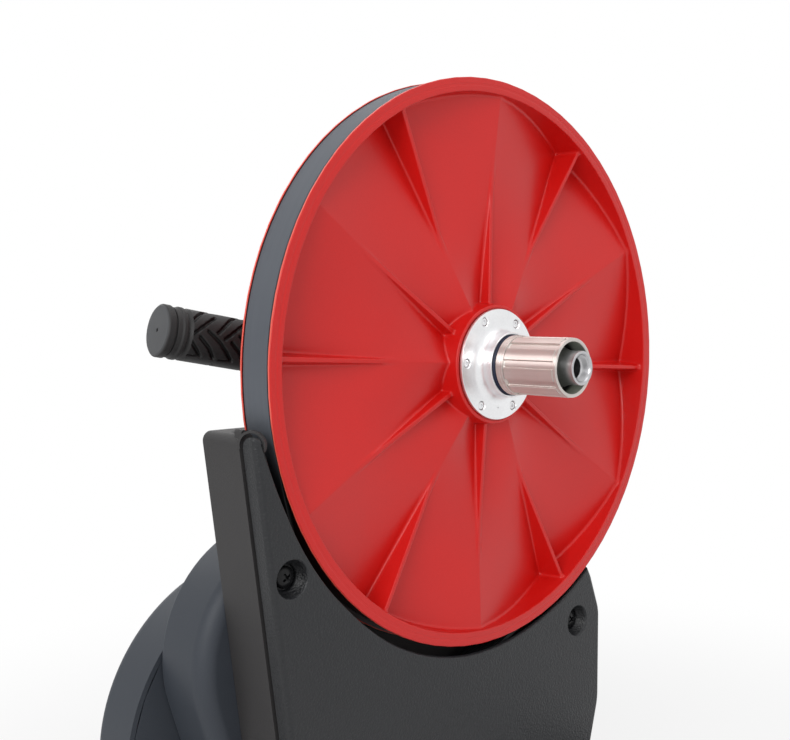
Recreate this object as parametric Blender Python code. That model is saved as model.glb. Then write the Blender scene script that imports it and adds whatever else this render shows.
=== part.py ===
"""Smart bike trainer: a belt-driven freehub pulley on a cast frame, a flywheel with an
electromagnetic brake, a carrying handle and a base with two folding legs.

Metres, +Z up. The origin is on the floor, at the middle of the footprint. The axle runs along
Y with the drive side at -Y, and the bike points to +X. Meshes are written in x and z from the
axle and in y from the plane RIM_Y, which runs through the pulley's front flange, and place()
sets them at AXLE_X, RIM_Y, AXLE_Z.
"""

import math

import bmesh
import bpy
from mathutils import Matrix, Vector

# Clearances
GAP = 0.0003
RUNNING_GAP = 0.0010
OVERSHOOT = 0.0050

# Axle line
AXLE_Z = 0.350
AXLE_R = 0.0085
THRU_AXLE_R = 0.0062
DRIVE_FACE_Y = -0.0665
OVER_LOCKNUTS = 0.142

# Driven pulley
PULLEY_R = 0.1704
PULLEY_TURN = math.radians(-2.8)
LIP_FACE_Y = -0.0015
LIP_WIDTH = 0.0082
FLANGE_THICK = 0.0018
PULLEY_WIDTH = 0.0251
REAR_FLANGE_THICK = 0.0024
PULLEY_EDGE = 0.0010
BELT_BELOW_RIM = 0.0008
WEB_THICK = 0.0028
RIM_DEEP = 0.0195
RIM_SHALLOW = 0.0015
HUB_DEEP = 0.0120
HUB_SHALLOW = 0.0020
COLLAR_R = 0.0360
COLLAR_TOP_Y = -0.0035
RIB_PAIRS = 6
FIN_FOOT_R = 0.0780
FIN_TOP_Y = 0.0020
RIB_TIP_R = 0.1120
RIB_TOP_Y = 0.0035
RIB_CREST = 0.0013
RIB_DRAFT = 0.11
RIB_FOOT = 0.0004

# Hub shell and its bolts
FLANGE_R = 0.0335
FLANGE_FACE_Y = -0.0054
FLANGE_BACK_Y = -0.0038
SPIGOT_R = 0.0242
HUB_REAR_Y = 0.0270
BOSS_R = 0.0195
HUB_LIP_Y = -0.0156
HUB_FILLET = 0.0050
BOLT_CIRCLE_R = 0.0288
BOLT_HEAD_R = 0.0022
BOLT_SHANK_R = 0.0012
BOLT_LENGTH = 0.0085
BOLT_TURN = math.radians(-3.0)
BEARING_OUTER_R = 0.0137
SEAL_R = 0.0184
SEAL_TAPER = 0.0008
SEAL_PROUD = 0.0022
SEAL_SEAT = 0.0010
DRIVE_BEARING_Y = -0.0030
HUB_BEARING_WIDTH = 0.0080
HUB_BEARING_IN = 0.0005

# Freehub
SPLINE_R = 0.01725
SPLINE_ROOT_R = 0.0160
SPLINES = 9
SPLINE_START_Y = -0.0225
FREEHUB_END_Y = -0.0603
FREEHUB_SEAT_R = 0.0178
FREEHUB_NECK_R = 0.0150
FREEHUB_NECK_END_Y = -0.0060
FREEHUB_BORE_R = 0.0130
FREEHUB_MOUTH_R = 0.0150
FREEHUB_MOUTH_DEPTH = 0.0100
FREEHUB_END_RING = 0.0018
FREEHUB_RING_DROP = 0.0001
FREEHUB_SEAL_GAP = 0.0032
FREEHUB_BEARING_WIDTH = 0.0070
END_CAP_R = 0.0098
END_CAP_SHOULDER_R = 0.0112
END_CAP_LENGTH = 0.0165
END_CAP_STRAIGHT = 0.0120
END_CAP_CONE = 0.0015
END_CAP_MOUTH = 0.0016
END_CAP_MOUTH_DEPTH = 0.0050
FAR_CAP_FACE = 0.0055
FAR_CAP_COLLAR = 0.0060
FAR_CAP_R = 0.0150
FAR_CAP_TIP_R = 0.0125

# Belt and its pulleys
BELT_THICK = 0.0022
BELT_FRONT_Y = 0.0022
BELT_WIDTH = 0.0186
PINION_LAND_R = 0.0120
PINION_FLANGE = 0.0026
PINION_FLANGE_THICK = 0.0012
IDLER_R = 0.0140
IDLER_PUSH = 0.0060
IDLER_STUD_R = 0.0050
IDLER_SHOULDER = 0.0030

# Flywheel line, measured from the axle
FLY_IN = 0.0669
FLY_Z = -0.2195
SHAFT_R = 0.0075
SHAFT_FRONT_Y = 0.0016
FLYWHEEL_R = 0.0950
FLYWHEEL_WIDTH = 0.0230
FLYWHEEL_RIM = 0.0205
FLYWHEEL_Y = 0.0885
FLY_HUB_R = 0.0200
COVER_R = 0.1012
COVER_WALL = 0.0030
COVER_CLEARANCE = 0.0020
COVER_CHAMFER = 0.0040
COVER_DISH = 0.55
COVER_DISH_STEP = 0.0012
FLY_WEB = 0.0060
FLY_HUB = 0.0090
FLY_FACE_IN = 0.0015
SHAFT_BEARING_R = 0.0172
BEARING_WIDTH = 0.0110

# Frame casting
FRAME_FRONT_Y = 0.0100
FRAME_PLATE_Y = 0.0285
FRAME_BACK_Y = 0.0420
REAR_WALL_OUT = 0.0099
REAR_LEAN = 0.1413
TUB_TOP_Z = -0.0315
TUB_BOTTOM_Z = -0.3000
TUB_WALL = 0.0050
RELIEF_FLOOR = 0.0045
BEARING_FLOOR = 0.0030
TOP_ROUND = 0.0060
ROOF_Y = 0.0042
ROOF_Z = -0.0340
ROOF_R = 0.0078
ROOF_THICK = 0.0014
ROOF_LENGTH = 0.0032
ROOF_START = math.radians(-20.0)
ROOF_END = math.radians(165.0)
FRONT_TIP_OUT = 0.0065
FRONT_TIP_ANGLE = math.radians(-54.155)
FRONT_EDGE_OUT = 0.0094
FRONT_SHOULDER_DROP = 0.0291
FRONT_FOOT_IN = 0.0180
FOOT_CORNER_R = 0.0350
FRONT_BEND_R = 0.0400
SHOULDER_BEND_R = 0.0250
FRONT_NECK = (0.0520, -0.0880)
FRONT_NECK_ROUND = 0.0300
REAR_NECK_OUT = 0.0110
REAR_NECK_ROUND = 0.0200
POCKET_DROP = 0.0300
POCKET_TIP_DROP = 0.0060
POCKET_PEAK_Z = -0.1000
RELIEF_TOP_Z = -0.0420
RELIEF_FRONT_Z = -0.0700
RELIEF_SPLIT_Z = -0.1450
RELIEF_RIB = 0.0100
RELIEF_CORNER = 0.0060
RELIEF_LOW_X = (-0.0200, 0.0280, 0.0360)
RELIEF_HIGH_X = (-0.0280, 0.0000, 0.0080, 0.0330)
RELIEF_SPLIT_X = (-0.0360, 0.0050, 0.0130, 0.0700)
AXLE_BOSS_R = 0.0360
AXLE_BOSS_END_Y = 0.0620
AXLE_SLEEVE_R = 0.0220
WHEEL_CLEARANCE = 0.0050

# Drive-side cover
COVER_FACE_Y = -0.0020
COVER_PLATE = 0.0026
COVER_INSET = 0.0012
COVER_ROUND = 0.0030
COVER_ARC_ROUND = 0.0012
COVER_TOP_Z = -0.0291
COVER_TOP_DROP = 0.0045
COVER_TIP_ROUND = 0.0026
COVER_HORN_BACK = 0.0035
COVER_HORN_DROP = 0.0030
COVER_ARC_OUT = 0.0039
COVER_ARC_X = -0.0020
SCREW_BOSS_R = 0.0078
SCREW_MOUTH_R = 0.0102
SCREW_WELL_R = 0.0068
SCREW_WELL_WALL = 0.0010
SCREW_WELL_DEPTH = 0.0078
SCREW_R = 0.0020
SCREW_HEAD_R = 0.0060
SCREW_HEAD = 0.0028
SCREW_LENGTH = 0.0180
REAR_SCREW_ANGLE = math.radians(-146.27)
REAR_SCREW_OUT = 0.0181
FRONT_SCREW_ANGLE = math.radians(-63.95)
FRONT_SCREW_OUT = 0.0250
LOWER_SCREW_REAR_IN = 0.0223
LOWER_SCREW_FRONT_IN = 0.0350
LOWER_SCREW_UP = 0.0280

# Brake housing: an upper round stretch and a lower one around the flywheel shaft
HOUSING_SET_BACK = 0.0085
HOUSING_LIFT = 0.0575
HOUSING_R = 0.0714
HOUSING_LOW_R = 0.0620
HOUSING_WALL = 0.0030
HOUSING_OPENING_R = 0.0380
HOUSING_END_Y = 0.0820
HOUSING_ROUND = 0.0025
HOUSING_FRONT_ROUND = 0.0100
GUARD_THICK = 0.0030

# Brake stator and coils
POLES = 6
STATOR_BORE_R = 0.0300
STATOR_RING_R = 0.0400
STATOR_SHOE_R = 0.0620
STATOR_AIR_GAP = 0.0012
STATOR_FRONT_Y = 0.0920
STATOR_BACK_Y = 0.1000
POLE_HALF = 0.0060
SHOE_HALF_ANGLE = math.radians(23.0)
SHOE_TAPER = 0.0030
COIL_START_R = 0.0430
COIL_END_R = 0.0600
COIL_THICK = 0.0036

# Electronics
BOARD_WIDTH = 0.0700
BOARD_THICK = 0.0016
BOARD_HEIGHT = 0.0460
BOARD_EDGE = 0.0050
BOARD_LIFT = 0.0280
BOARD_SPACER = 0.0060
SOCKET_R = 0.0055
SOCKET_BORE_R = 0.0032
SOCKET_DROP = 0.0186
SOCKET_LENGTH = 0.0160
SOCKET_PROUD = 0.0030
SOCKET_PIN_R = 0.0010

# Handle
HANDLE_END = Vector((-0.1940, 0.0640, 0.0222))
HANDLE_AXIS = Vector((0.9757, -0.1284, -0.1773)).normalized()
BAR_R = 0.0110
BAR_WALL = 0.0015
BAR_LENGTH = 0.1500
GRIP_R = 0.0142
GRIP_LENGTH = 0.1120
GRIP_END_WALL = 0.0030
GRIP_GROOVE = 0.0018
GRIP_BODY_IN = 0.0006
GRIP_END_ROUND = 0.0010
GRIP_END_RING = 0.0046
GRIP_RING_START = 0.0075
GRIP_RING_END = 0.0115
GRIP_BODY_START = 0.0145
SOCKET_BOSS_R = 0.0165
SOCKET_BOSS_DEPTH = 0.0260

# Base
BEAM_Y = (-0.0050, 0.0400)
BEAM_X = (-0.1840, 0.1350)
BEAM_BOTTOM = 0.0040
BEAM_WALL = 0.0045
LUG_THICK = 0.0097
LOWER_LUG_THICK = 0.0062
LUG_R = 0.0210
LUG_ROOT = 0.0600
PIVOT_X = 0.1300
PIVOT_OUT = 0.0435
PIN_R = 0.0060
PIN_HEAD_R = 0.0090
PIN_HEAD = 0.0022
LUG_CORNER_IN = 0.0020
LUG_FLARE = 0.0030
LEG_LENGTH = 0.2700
LEG_SPREAD = math.radians(60.0)
LEG_EYE_R = 0.0200
LEG_BOTTOM = 0.0115
LEG_ROOT_HALF = 0.0150
LEG_TIP_HALF = 0.0130
LEG_TIP_TOP = 0.0268
LEG_EYE_STEP = 0.0012
LEG_START = 0.0060
LEG_EDGE = 0.0040
LEG_TIP_EDGE = 0.0030
LEG_WAIST_RISE = 0.0010
KNOB_R = 0.0170
KNOB_HEIGHT = 0.0180
KNOB_LOBES = 5
KNOB_LOBE_DEPTH = 0.0030
KNOB_BASE_HEIGHT = 0.0040
FOOT_R = 0.0180
FOOT_STUD_R = 0.0040
FOOT_STUD = 0.0085
FOOT_ROUND = 0.0010
FOOT_TAPER = 0.0040
REAR_BAR_X = 0.0300
REAR_BAR_HALF = 0.1450
REAR_BAR_TOP = 0.0400
REAR_BAR_NECK = (0.0315, 0.0130)
REAR_BAR_END = (0.0300, 0.0105)
REAR_FOOT_IN = 0.0200
BASE_BOLT_R = 0.0040
BASE_BOLT_HEAD_R = 0.0065
BASE_BOLT_HEAD = 0.0050
BASE_BOLT_OFF_Y = 0.0085
BASE_BOLTS_X = (-0.0900, 0.0400)
BASE_BOLT_TIP_Z = TUB_BOTTOM_Z + 0.0036

# The larger parts on the board: place and size as shares of its width and height, depth in edges
BOARD_PARTS = (
    (-0.26, 0.13, 0.20, 0.30, 0.4),
    (0.23, -0.09, 0.29, 0.26, 2.0),
    (-0.23, -0.32, 0.17, 0.13, 1.2),
)

# Facets per turn
TINY = 8
COARSE = 10
MEDIUM = 14
FINE = 22
LARGE = 30
ROUND_STEPS = 12
WELL_STEPS = 44

BEAM_TOP = AXLE_Z + TUB_BOTTOM_Z - GAP
REAR_TOP_X = -(PULLEY_R + REAR_WALL_OUT)
FLY_X = -(PULLEY_R - FLY_IN)
HOUSING_X = FLY_X - HOUSING_SET_BACK
HOUSING_Z = FLY_Z + HOUSING_LIFT
FRONT_TIP_X = (PULLEY_R + FRONT_TIP_OUT) * math.cos(FRONT_TIP_ANGLE)
FRONT_TIP_Z = (PULLEY_R + FRONT_TIP_OUT) * math.sin(FRONT_TIP_ANGLE)
FRONT_EDGE_X = FRONT_TIP_X + FRONT_EDGE_OUT
FRONT_SHOULDER_Z = FRONT_TIP_Z - FRONT_SHOULDER_DROP
COVER_ARC_R = PULLEY_R + COVER_ARC_OUT
STATOR_R = FLYWHEEL_R - FLYWHEEL_RIM - STATOR_AIR_GAP
LAND_R = PULLEY_R - BELT_BELOW_RIM - BELT_THICK - GAP
RIM_INNER_R = PULLEY_R - LIP_WIDTH
REAR_FACE_Y = LIP_FACE_Y + PULLEY_WIDTH
NON_DRIVE_FACE_Y = DRIVE_FACE_Y + OVER_LOCKNUTS
GUARD_Y = HOUSING_END_Y + GAP
BELT_PITCH = GAP + BELT_THICK / 2
BEAM_MID_Y = (BEAM_Y[0] + BEAM_Y[1]) / 2
FRONT_FOOT_X = PIVOT_X + LEG_LENGTH * math.cos(LEG_SPREAD)
REAR_FOOT_X = BEAM_X[0] - GAP - REAR_BAR_X / 2
AXLE_X = -(FRONT_FOOT_X + REAR_FOOT_X) / 2
RIM_Y = -BEAM_MID_Y
BASE_BOLT_Y = BEAM_MID_Y + BASE_BOLT_OFF_Y

MATERIALS = {
    "red_casting": ((0.58, 0.035, 0.025), 0.42, 0.0),
    "machined_silver": ((0.80, 0.81, 0.82), 0.28, 1.0),
    "freehub_nickel": ((0.62, 0.53, 0.47), 0.25, 1.0),
    "steel": ((0.50, 0.50, 0.51), 0.32, 1.0),
    "dark_steel": ((0.13, 0.13, 0.14), 0.35, 1.0),
    "navy_seal": ((0.012, 0.02, 0.045), 0.45, 0.0),
    "belt_rubber": ((0.045, 0.048, 0.052), 0.5, 0.0),
    "frame_grey": ((0.070, 0.065, 0.064), 0.6, 0.0),
    "cover_plastic": ((0.050, 0.052, 0.057), 0.5, 0.0),
    "housing_plastic": ((0.075, 0.085, 0.105), 0.55, 0.0),
    "grip_rubber": ((0.022, 0.020, 0.020), 0.65, 0.0),
    "black_screw": ((0.012, 0.012, 0.013), 0.3, 0.6),
    "copper": ((0.55, 0.22, 0.10), 0.35, 1.0),
    "board_green": ((0.02, 0.14, 0.06), 0.5, 0.0),
    "foot_rubber": ((0.02, 0.02, 0.021), 0.8, 0.0),
}


def clear_scene():
    for found in list(bpy.data.objects):
        bpy.data.objects.remove(found, do_unlink=True)


def material(name):
    found = bpy.data.materials.get(name)
    if found:
        return found
    colour, roughness, metallic = MATERIALS[name]
    made = bpy.data.materials.new(name)
    made.use_nodes = True
    shader = made.node_tree.nodes["Principled BSDF"]
    shader.inputs["Base Color"].default_value = (*colour, 1.0)
    shader.inputs["Roughness"].default_value = roughness
    shader.inputs["Metallic"].default_value = metallic
    return made


def to_object(name, bm, kind=None):
    bmesh.ops.recalc_face_normals(bm, faces=bm.faces)
    mesh = bpy.data.meshes.new(name)
    bm.to_mesh(mesh)
    bm.free()
    made = bpy.data.objects.new(name, mesh)
    bpy.context.scene.collection.objects.link(made)
    if kind:
        mesh.materials.append(material(kind))
    return made


def place(made, x, z, parent=None):
    """Puts a piece at (x, z) from the axle, on the rim plane datum."""
    made.location = (AXLE_X + x, RIM_Y, AXLE_Z + z)
    return carry(made, parent)


def stand(made, x, y, parent=None):
    """Puts a piece that is drawn up from the floor at x from the axle and y from the rim plane."""
    made.location = (AXLE_X + x, RIM_Y + y, 0.0)
    return carry(made, parent)


def carry(made, parent):
    """Hangs a piece on its joint's empty and leaves it where it is in the world."""
    if parent:
        bpy.context.view_layer.update()
        made.parent = parent
        made.matrix_parent_inverse = parent.matrix_world.inverted()
    return made


def joint_empty(name, x, y, z):
    made = bpy.data.objects.new(name, None)
    made.location = (AXLE_X + x, RIM_Y + y, AXLE_Z + z)
    bpy.context.scene.collection.objects.link(made)
    bpy.context.view_layer.update()
    return made


def smooth(made, degrees=35):
    for face in made.data.polygons:
        face.use_smooth = True
    bm = bmesh.new()
    bm.from_mesh(made.data)
    for edge in bm.edges:
        edge.smooth = edge.calc_face_angle(0.0) < math.radians(degrees)
    bm.to_mesh(made.data)
    bm.free()
    return made


def loft(name, loops, kind=None, ring=False):
    """Skins loops of equal length. A ring joins the last loop to the first; else ends are capped."""
    bm = bmesh.new()
    rows = [[bm.verts.new(point) for point in loop] for loop in loops]
    pairs = list(zip(rows, rows[1:]))
    if ring:
        pairs.append((rows[-1], rows[0]))
    else:
        bm.faces.new(rows[0])
        bm.faces.new(list(reversed(rows[-1])))
    for one, two in pairs:
        for i in range(len(one)):
            j = (i + 1) % len(one)
            bm.faces.new((one[i], one[j], two[j], two[i]))
    return smooth(to_object(name, bm, kind))


def circle(radius, y, steps, x=0.0, z=0.0):
    """A loop about the Y axis."""
    turn = 2 * math.pi / steps
    return [(x + radius * math.cos(i * turn), y, z + radius * math.sin(i * turn)) for i in range(steps)]


def turned(name, profile, kind=None, steps=MEDIUM, ring=True):
    """A lathe piece about the Y axis from (radius, y) pairs."""
    return loft(name, [circle(r, y, steps) for r, y in profile], kind, ring)


def upright_turned(name, profile, kind=None, steps=MEDIUM, ring=False):
    """A lathe piece about the Z axis from (radius, z) pairs."""
    turn = 2 * math.pi / steps
    loops = []
    for r, z in profile:
        loops.append([(r * math.cos(i * turn), r * math.sin(i * turn), z) for i in range(steps)])
    return loft(name, loops, kind, ring)


def arc_points(start, corner, end, radius, steps):
    """Rounds one corner of an outline with an arc tangent to both sides."""
    a = (Vector(start) - Vector(corner)).normalized()
    b = (Vector(end) - Vector(corner)).normalized()
    half = a.angle(b) / 2
    reach = radius / math.tan(half)
    centre = Vector(corner) + (a + b).normalized() * (radius / math.sin(half))
    first = Vector(corner) + a * reach - centre
    last = Vector(corner) + b * reach - centre
    sweep = first.angle_signed(last)
    points = []
    for i in range(steps + 1):
        turn = -sweep * i / steps
        cos, sin = math.cos(turn), math.sin(turn)
        points.append((centre.x + first.x * cos - first.y * sin, centre.y + first.x * sin + first.y * cos))
    return points


def rounded(corners, steps=3):
    """An outline from (x, z, radius) corners."""
    outline = []
    for i, (x, z, radius) in enumerate(corners):
        if radius <= 0:
            outline.append((x, z))
            continue
        before = corners[i - 1][:2]
        after = corners[(i + 1) % len(corners)][:2]
        outline += arc_points(before, (x, z), after, radius, steps)
    return outline


def plate(name, outline, y0, y1, kind=None):
    """An outline in XZ, extruded from y0 to y1."""
    return loft(name, [[(x, y, z) for x, z in outline] for y in (y0, y1)], kind)


def slab(name, outline, z0, z1, kind=None):
    """An outline in XY, extruded from z0 to z1."""
    return loft(name, [[(x, y, z) for x, y in outline] for z in (z0, z1)], kind)


def box(name, low, high, kind=None):
    outline = [(low[0], low[2]), (high[0], low[2]), (high[0], high[2]), (low[0], high[2])]
    return plate(name, outline, low[1], high[1], kind)


def rod(name, start, end, radius, kind=None, steps=MEDIUM):
    """A cylinder between two points."""
    start, end = Vector(start), Vector(end)
    made = upright_turned(name, [(radius, 0.0), (radius, (end - start).length)], kind, steps)
    turn = Vector((0, 0, 1)).rotation_difference(end - start)
    made.data.transform(Matrix.Translation(start) @ turn.to_matrix().to_4x4())
    return made


def boolean(target, tool, operation):
    change = target.modifiers.new(operation, "BOOLEAN")
    change.operation = operation
    change.solver = "EXACT"
    change.object = tool
    bpy.context.view_layer.update()
    seen = target.evaluated_get(bpy.context.evaluated_depsgraph_get())
    mesh = bpy.data.meshes.new_from_object(seen)
    target.modifiers.clear()
    target.data = mesh
    bpy.data.objects.remove(tool, do_unlink=True)
    return target


def cut(target, *tools):
    for tool in tools:
        boolean(target, tool, "DIFFERENCE")
    return target


def join(target, *tools):
    for tool in tools:
        boolean(target, tool, "UNION")
    return target


def web_depth(radius, share):
    """Depth of the folded web: share is 0 on a fin's line and 1 on a hub rib's line."""
    t = (radius - COLLAR_R) / (RIM_INNER_R - COLLAR_R)
    fin_line = HUB_SHALLOW + (RIM_DEEP - HUB_SHALLOW) * t
    rib_line = HUB_DEEP + (RIM_SHALLOW - HUB_DEEP) * t
    return fin_line * (1 - share) + rib_line * share


def crest_depth(radius, rib):
    """Depth of a fin's or a hub rib's crest, no deeper than the web it stands on."""
    if rib % 2 == 0:
        foot = web_depth(FIN_FOOT_R, 0)
        t = (RIM_INNER_R - radius) / (RIM_INNER_R - FIN_FOOT_R)
        return min(FIN_TOP_Y + (foot - FIN_TOP_Y) * t, web_depth(radius, 0))
    foot = web_depth(RIB_TIP_R, 1)
    t = (radius - COLLAR_R) / (RIB_TIP_R - COLLAR_R)
    return min(RIB_TOP_Y + (foot - RIB_TOP_Y) * t, web_depth(radius, 1))


def pulley_loop(radius, depth_at, between=2):
    """One ring of the pulley: four samples over each rib and some between the ribs."""
    points = []
    ribs = 2 * RIB_PAIRS
    pitch = 2 * math.pi / ribs
    for rib in range(ribs):
        line = rib * pitch
        base = web_depth(radius, rib % 2)
        height = max(base - crest_depth(radius, rib), 0.0)
        crest = RIB_CREST / radius
        foot = (RIB_CREST + RIB_FOOT + RIB_DRAFT * height) / radius
        samples = [(-foot, False), (-crest, True), (crest, True), (foot, False)]
        nearest = (RIB_CREST + RIB_FOOT + RIB_DRAFT * (RIM_DEEP - FIN_TOP_Y)) / radius
        for i in range(between):
            samples.append((nearest + (pitch - 2 * nearest) * (i + 1) / (between + 1), False))
        for turn, on_crest in samples:
            angle = line + turn + PULLEY_TURN
            share = abs(turn) / pitch
            share = share if rib % 2 == 0 else 1 - share
            y = depth_at(radius, share, rib if on_crest else None)
            points.append((radius * math.cos(angle), y, radius * math.sin(angle)))
    return points


def front_of_web(radius, share, rib):
    return web_depth(radius, share) if rib is None else crest_depth(radius, rib)


def back_of_web(radius, share, rib):
    return min(web_depth(radius, share) + WEB_THICK, REAR_FACE_Y - GAP)


def flat(y):
    return lambda radius, share, rib: y


def driven_pulley(parent):
    radii = [COLLAR_R, FIN_FOOT_R, RIB_TIP_R, RIM_INNER_R]
    bore = SPIGOT_R + GAP
    edge = PULLEY_EDGE
    rings = [
        (PULLEY_R, flat(LIP_FACE_Y + FLANGE_THICK)),
        (PULLEY_R - edge / 2, flat(LIP_FACE_Y)),
        (RIM_INNER_R + edge / 2, flat(LIP_FACE_Y)),
    ]
    rings += [(r, front_of_web) for r in reversed(radii)]
    rings += [(COLLAR_R - edge / 2, flat(COLLAR_TOP_Y)), (bore, flat(COLLAR_TOP_Y))]
    rings += [(bore, flat(REAR_FACE_Y - edge)), (COLLAR_R, flat(REAR_FACE_Y - edge))]
    rings += [(r, back_of_web) for r in (COLLAR_R + edge, RIM_INNER_R - edge)]
    rings += [
        (RIM_INNER_R, flat(REAR_FACE_Y)),
        (PULLEY_R, flat(REAR_FACE_Y)),
        (PULLEY_R, flat(REAR_FACE_Y - REAR_FLANGE_THICK)),
        (LAND_R, flat(REAR_FACE_Y - REAR_FLANGE_THICK)),
        (LAND_R, flat(LIP_FACE_Y + FLANGE_THICK)),
    ]
    made = loft("driven_pulley", [pulley_loop(r, f) for r, f in rings], "red_casting", ring=True)
    for x, z in bolt_places():
        end = FLANGE_FACE_Y + BOLT_LENGTH + edge
        cut(made, bolt_drill(BOLT_SHANK_R + GAP, COLLAR_TOP_Y - edge, end, x, z, TINY))
    return place(smooth(made, 25), 0, 0, parent)


def bolt_places():
    turn = 2 * math.pi / 6
    angles = [BOLT_TURN + i * turn for i in range(6)]
    return [(BOLT_CIRCLE_R * math.cos(a), BOLT_CIRCLE_R * math.sin(a)) for a in angles]


def bolt_drill(radius, y0, y1, x, z, steps=COARSE):
    return loft("drill", [circle(radius, y, steps, x, z) for y in (y0, y1)])


def hub_shell(parent):
    fillet = HUB_FILLET
    steps = 3
    seal_floor = HUB_LIP_Y + SEAL_SEAT + GAP
    profile = [(SEAL_R + GAP, HUB_LIP_Y), (BOSS_R, HUB_LIP_Y), (BOSS_R, FLANGE_FACE_Y - fillet)]
    for i in range(1, steps + 1):
        turn = math.pi / 2 * i / steps
        radius = BOSS_R + fillet * (1 - math.cos(turn))
        profile.append((radius, FLANGE_FACE_Y - fillet * (1 - math.sin(turn))))
    bearing_bore = BEARING_OUTER_R + GAP
    ratchet_bore = FREEHUB_NECK_R + RUNNING_GAP
    profile += [
        (FLANGE_R, FLANGE_FACE_Y),
        (FLANGE_R, FLANGE_BACK_Y),
        (SPIGOT_R, FLANGE_BACK_Y),
        (SPIGOT_R, HUB_REAR_Y),
        (bearing_bore, HUB_REAR_Y),
        (bearing_bore, FREEHUB_NECK_END_Y + 2 * RUNNING_GAP),
        (ratchet_bore, FREEHUB_NECK_END_Y + 2 * RUNNING_GAP),
        (ratchet_bore, seal_floor),
        (SEAL_R + GAP, seal_floor),
    ]
    made = turned("hub_shell", profile, "machined_silver", FINE)
    for x, z in bolt_places():
        end = FLANGE_BACK_Y + RUNNING_GAP
        cut(made, bolt_drill(BOLT_HEAD_R + GAP, FLANGE_FACE_Y - RUNNING_GAP, end, x, z, TINY))
    return place(smooth(made), 0, 0, parent)


def hub_bolts(parent):
    face = FLANGE_FACE_Y + GAP / 2
    cone = BOLT_HEAD_R - BOLT_SHANK_R
    for i, (x, z) in enumerate(bolt_places()):
        made = turned(f"hub_bolt_{i + 1}", [
            (BOLT_HEAD_R, face),
            (BOLT_SHANK_R, face + cone),
            (BOLT_SHANK_R, FLANGE_FACE_Y + BOLT_LENGTH),
        ], "steel", TINY, ring=False)
        place(made, x, z, parent)


def hub_seal(parent):
    inner = FREEHUB_NECK_R + 2 * GAP
    seat, proud = HUB_LIP_Y + SEAL_SEAT, HUB_LIP_Y - SEAL_PROUD
    made = turned("hub_seal", [
        (inner, seat), (SEAL_R, seat), (SEAL_R - SEAL_TAPER, proud), (inner, proud),
    ], "navy_seal", FINE)
    place(made, 0, 0, parent)


def bearing(name, outer, inner, y, width, parent, x=0.0, z=0.0):
    end = y + width
    made = turned(name, [(inner, y), (outer, y), (outer, end), (inner, end)], "steel", ROUND_STEPS)
    place(made, x, z, parent)


def spline_loop(y, outer, root):
    """Splines as four points to a pitch: two on a land, two in a groove."""
    points = []
    pitch = 2 * math.pi / SPLINES
    for i in range(SPLINES):
        for share, radius in ((-0.30, outer), (0.30, outer), (0.35, root), (0.65, root)):
            angle = (i + share) * pitch
            points.append((radius * math.cos(angle), y, radius * math.sin(angle)))
    return points


def freehub_body(parent):
    ring_y, ring_r = FREEHUB_END_Y + FREEHUB_END_RING, SPLINE_R - FREEHUB_RING_DROP
    seat_end = HUB_LIP_Y - FREEHUB_SEAL_GAP
    bore_floor = FREEHUB_END_Y + FREEHUB_MOUTH_DEPTH

    def ring(radius, y):
        return spline_loop(y, radius, radius)

    loops = [
        ring(FREEHUB_MOUTH_R, FREEHUB_END_Y),
        ring(ring_r, FREEHUB_END_Y),
        ring(ring_r, ring_y),
        spline_loop(ring_y, SPLINE_R, SPLINE_ROOT_R),
        spline_loop(SPLINE_START_Y, SPLINE_R, SPLINE_ROOT_R),
        ring(FREEHUB_SEAT_R, SPLINE_START_Y),
        ring(FREEHUB_SEAT_R, seat_end),
        ring(FREEHUB_NECK_R, seat_end),
        ring(FREEHUB_NECK_R, FREEHUB_NECK_END_Y),
        ring(FREEHUB_BORE_R, FREEHUB_NECK_END_Y),
        ring(FREEHUB_BORE_R, bore_floor),
        ring(FREEHUB_MOUTH_R, bore_floor),
    ]
    made = loft("freehub_body", loops, "freehub_nickel", ring=True)
    return place(smooth(made, 30), 0, 0, parent)


def axle_pieces():
    axle_start = DRIVE_FACE_Y + END_CAP_LENGTH
    axle_end = NON_DRIVE_FACE_Y - FAR_CAP_FACE
    place(turned("axle", [
        (THRU_AXLE_R, axle_start), (AXLE_R, axle_start), (AXLE_R, axle_end), (THRU_AXLE_R, axle_end),
    ], "steel"), 0, 0)
    mouth_r, mouth_y = THRU_AXLE_R + END_CAP_MOUTH, DRIVE_FACE_Y + END_CAP_MOUTH_DEPTH
    cone_y, seat = DRIVE_FACE_Y + END_CAP_STRAIGHT, axle_start - GAP
    place(turned("drive_end_cap", [
        (mouth_r, DRIVE_FACE_Y), (END_CAP_R, DRIVE_FACE_Y), (END_CAP_R, cone_y),
        (END_CAP_SHOULDER_R, cone_y + END_CAP_CONE), (END_CAP_SHOULDER_R, seat), (THRU_AXLE_R, seat),
        (THRU_AXLE_R, mouth_y), (mouth_r, mouth_y),
    ], "steel", FINE), 0, 0)
    sleeve, seat, boss = AXLE_R + GAP, axle_end + GAP, AXLE_BOSS_END_Y + GAP
    place(turned("non_drive_end_cap", [
        (THRU_AXLE_R, NON_DRIVE_FACE_Y), (THRU_AXLE_R, seat), (sleeve, seat), (sleeve, boss),
        (FAR_CAP_R, boss), (FAR_CAP_R, AXLE_BOSS_END_Y + FAR_CAP_COLLAR), (FAR_CAP_TIP_R, NON_DRIVE_FACE_Y),
    ], "dark_steel"), 0, 0)


def rear_edge_x(z):
    return REAR_TOP_X + REAR_LEAN * (TUB_TOP_Z - z)


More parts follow.
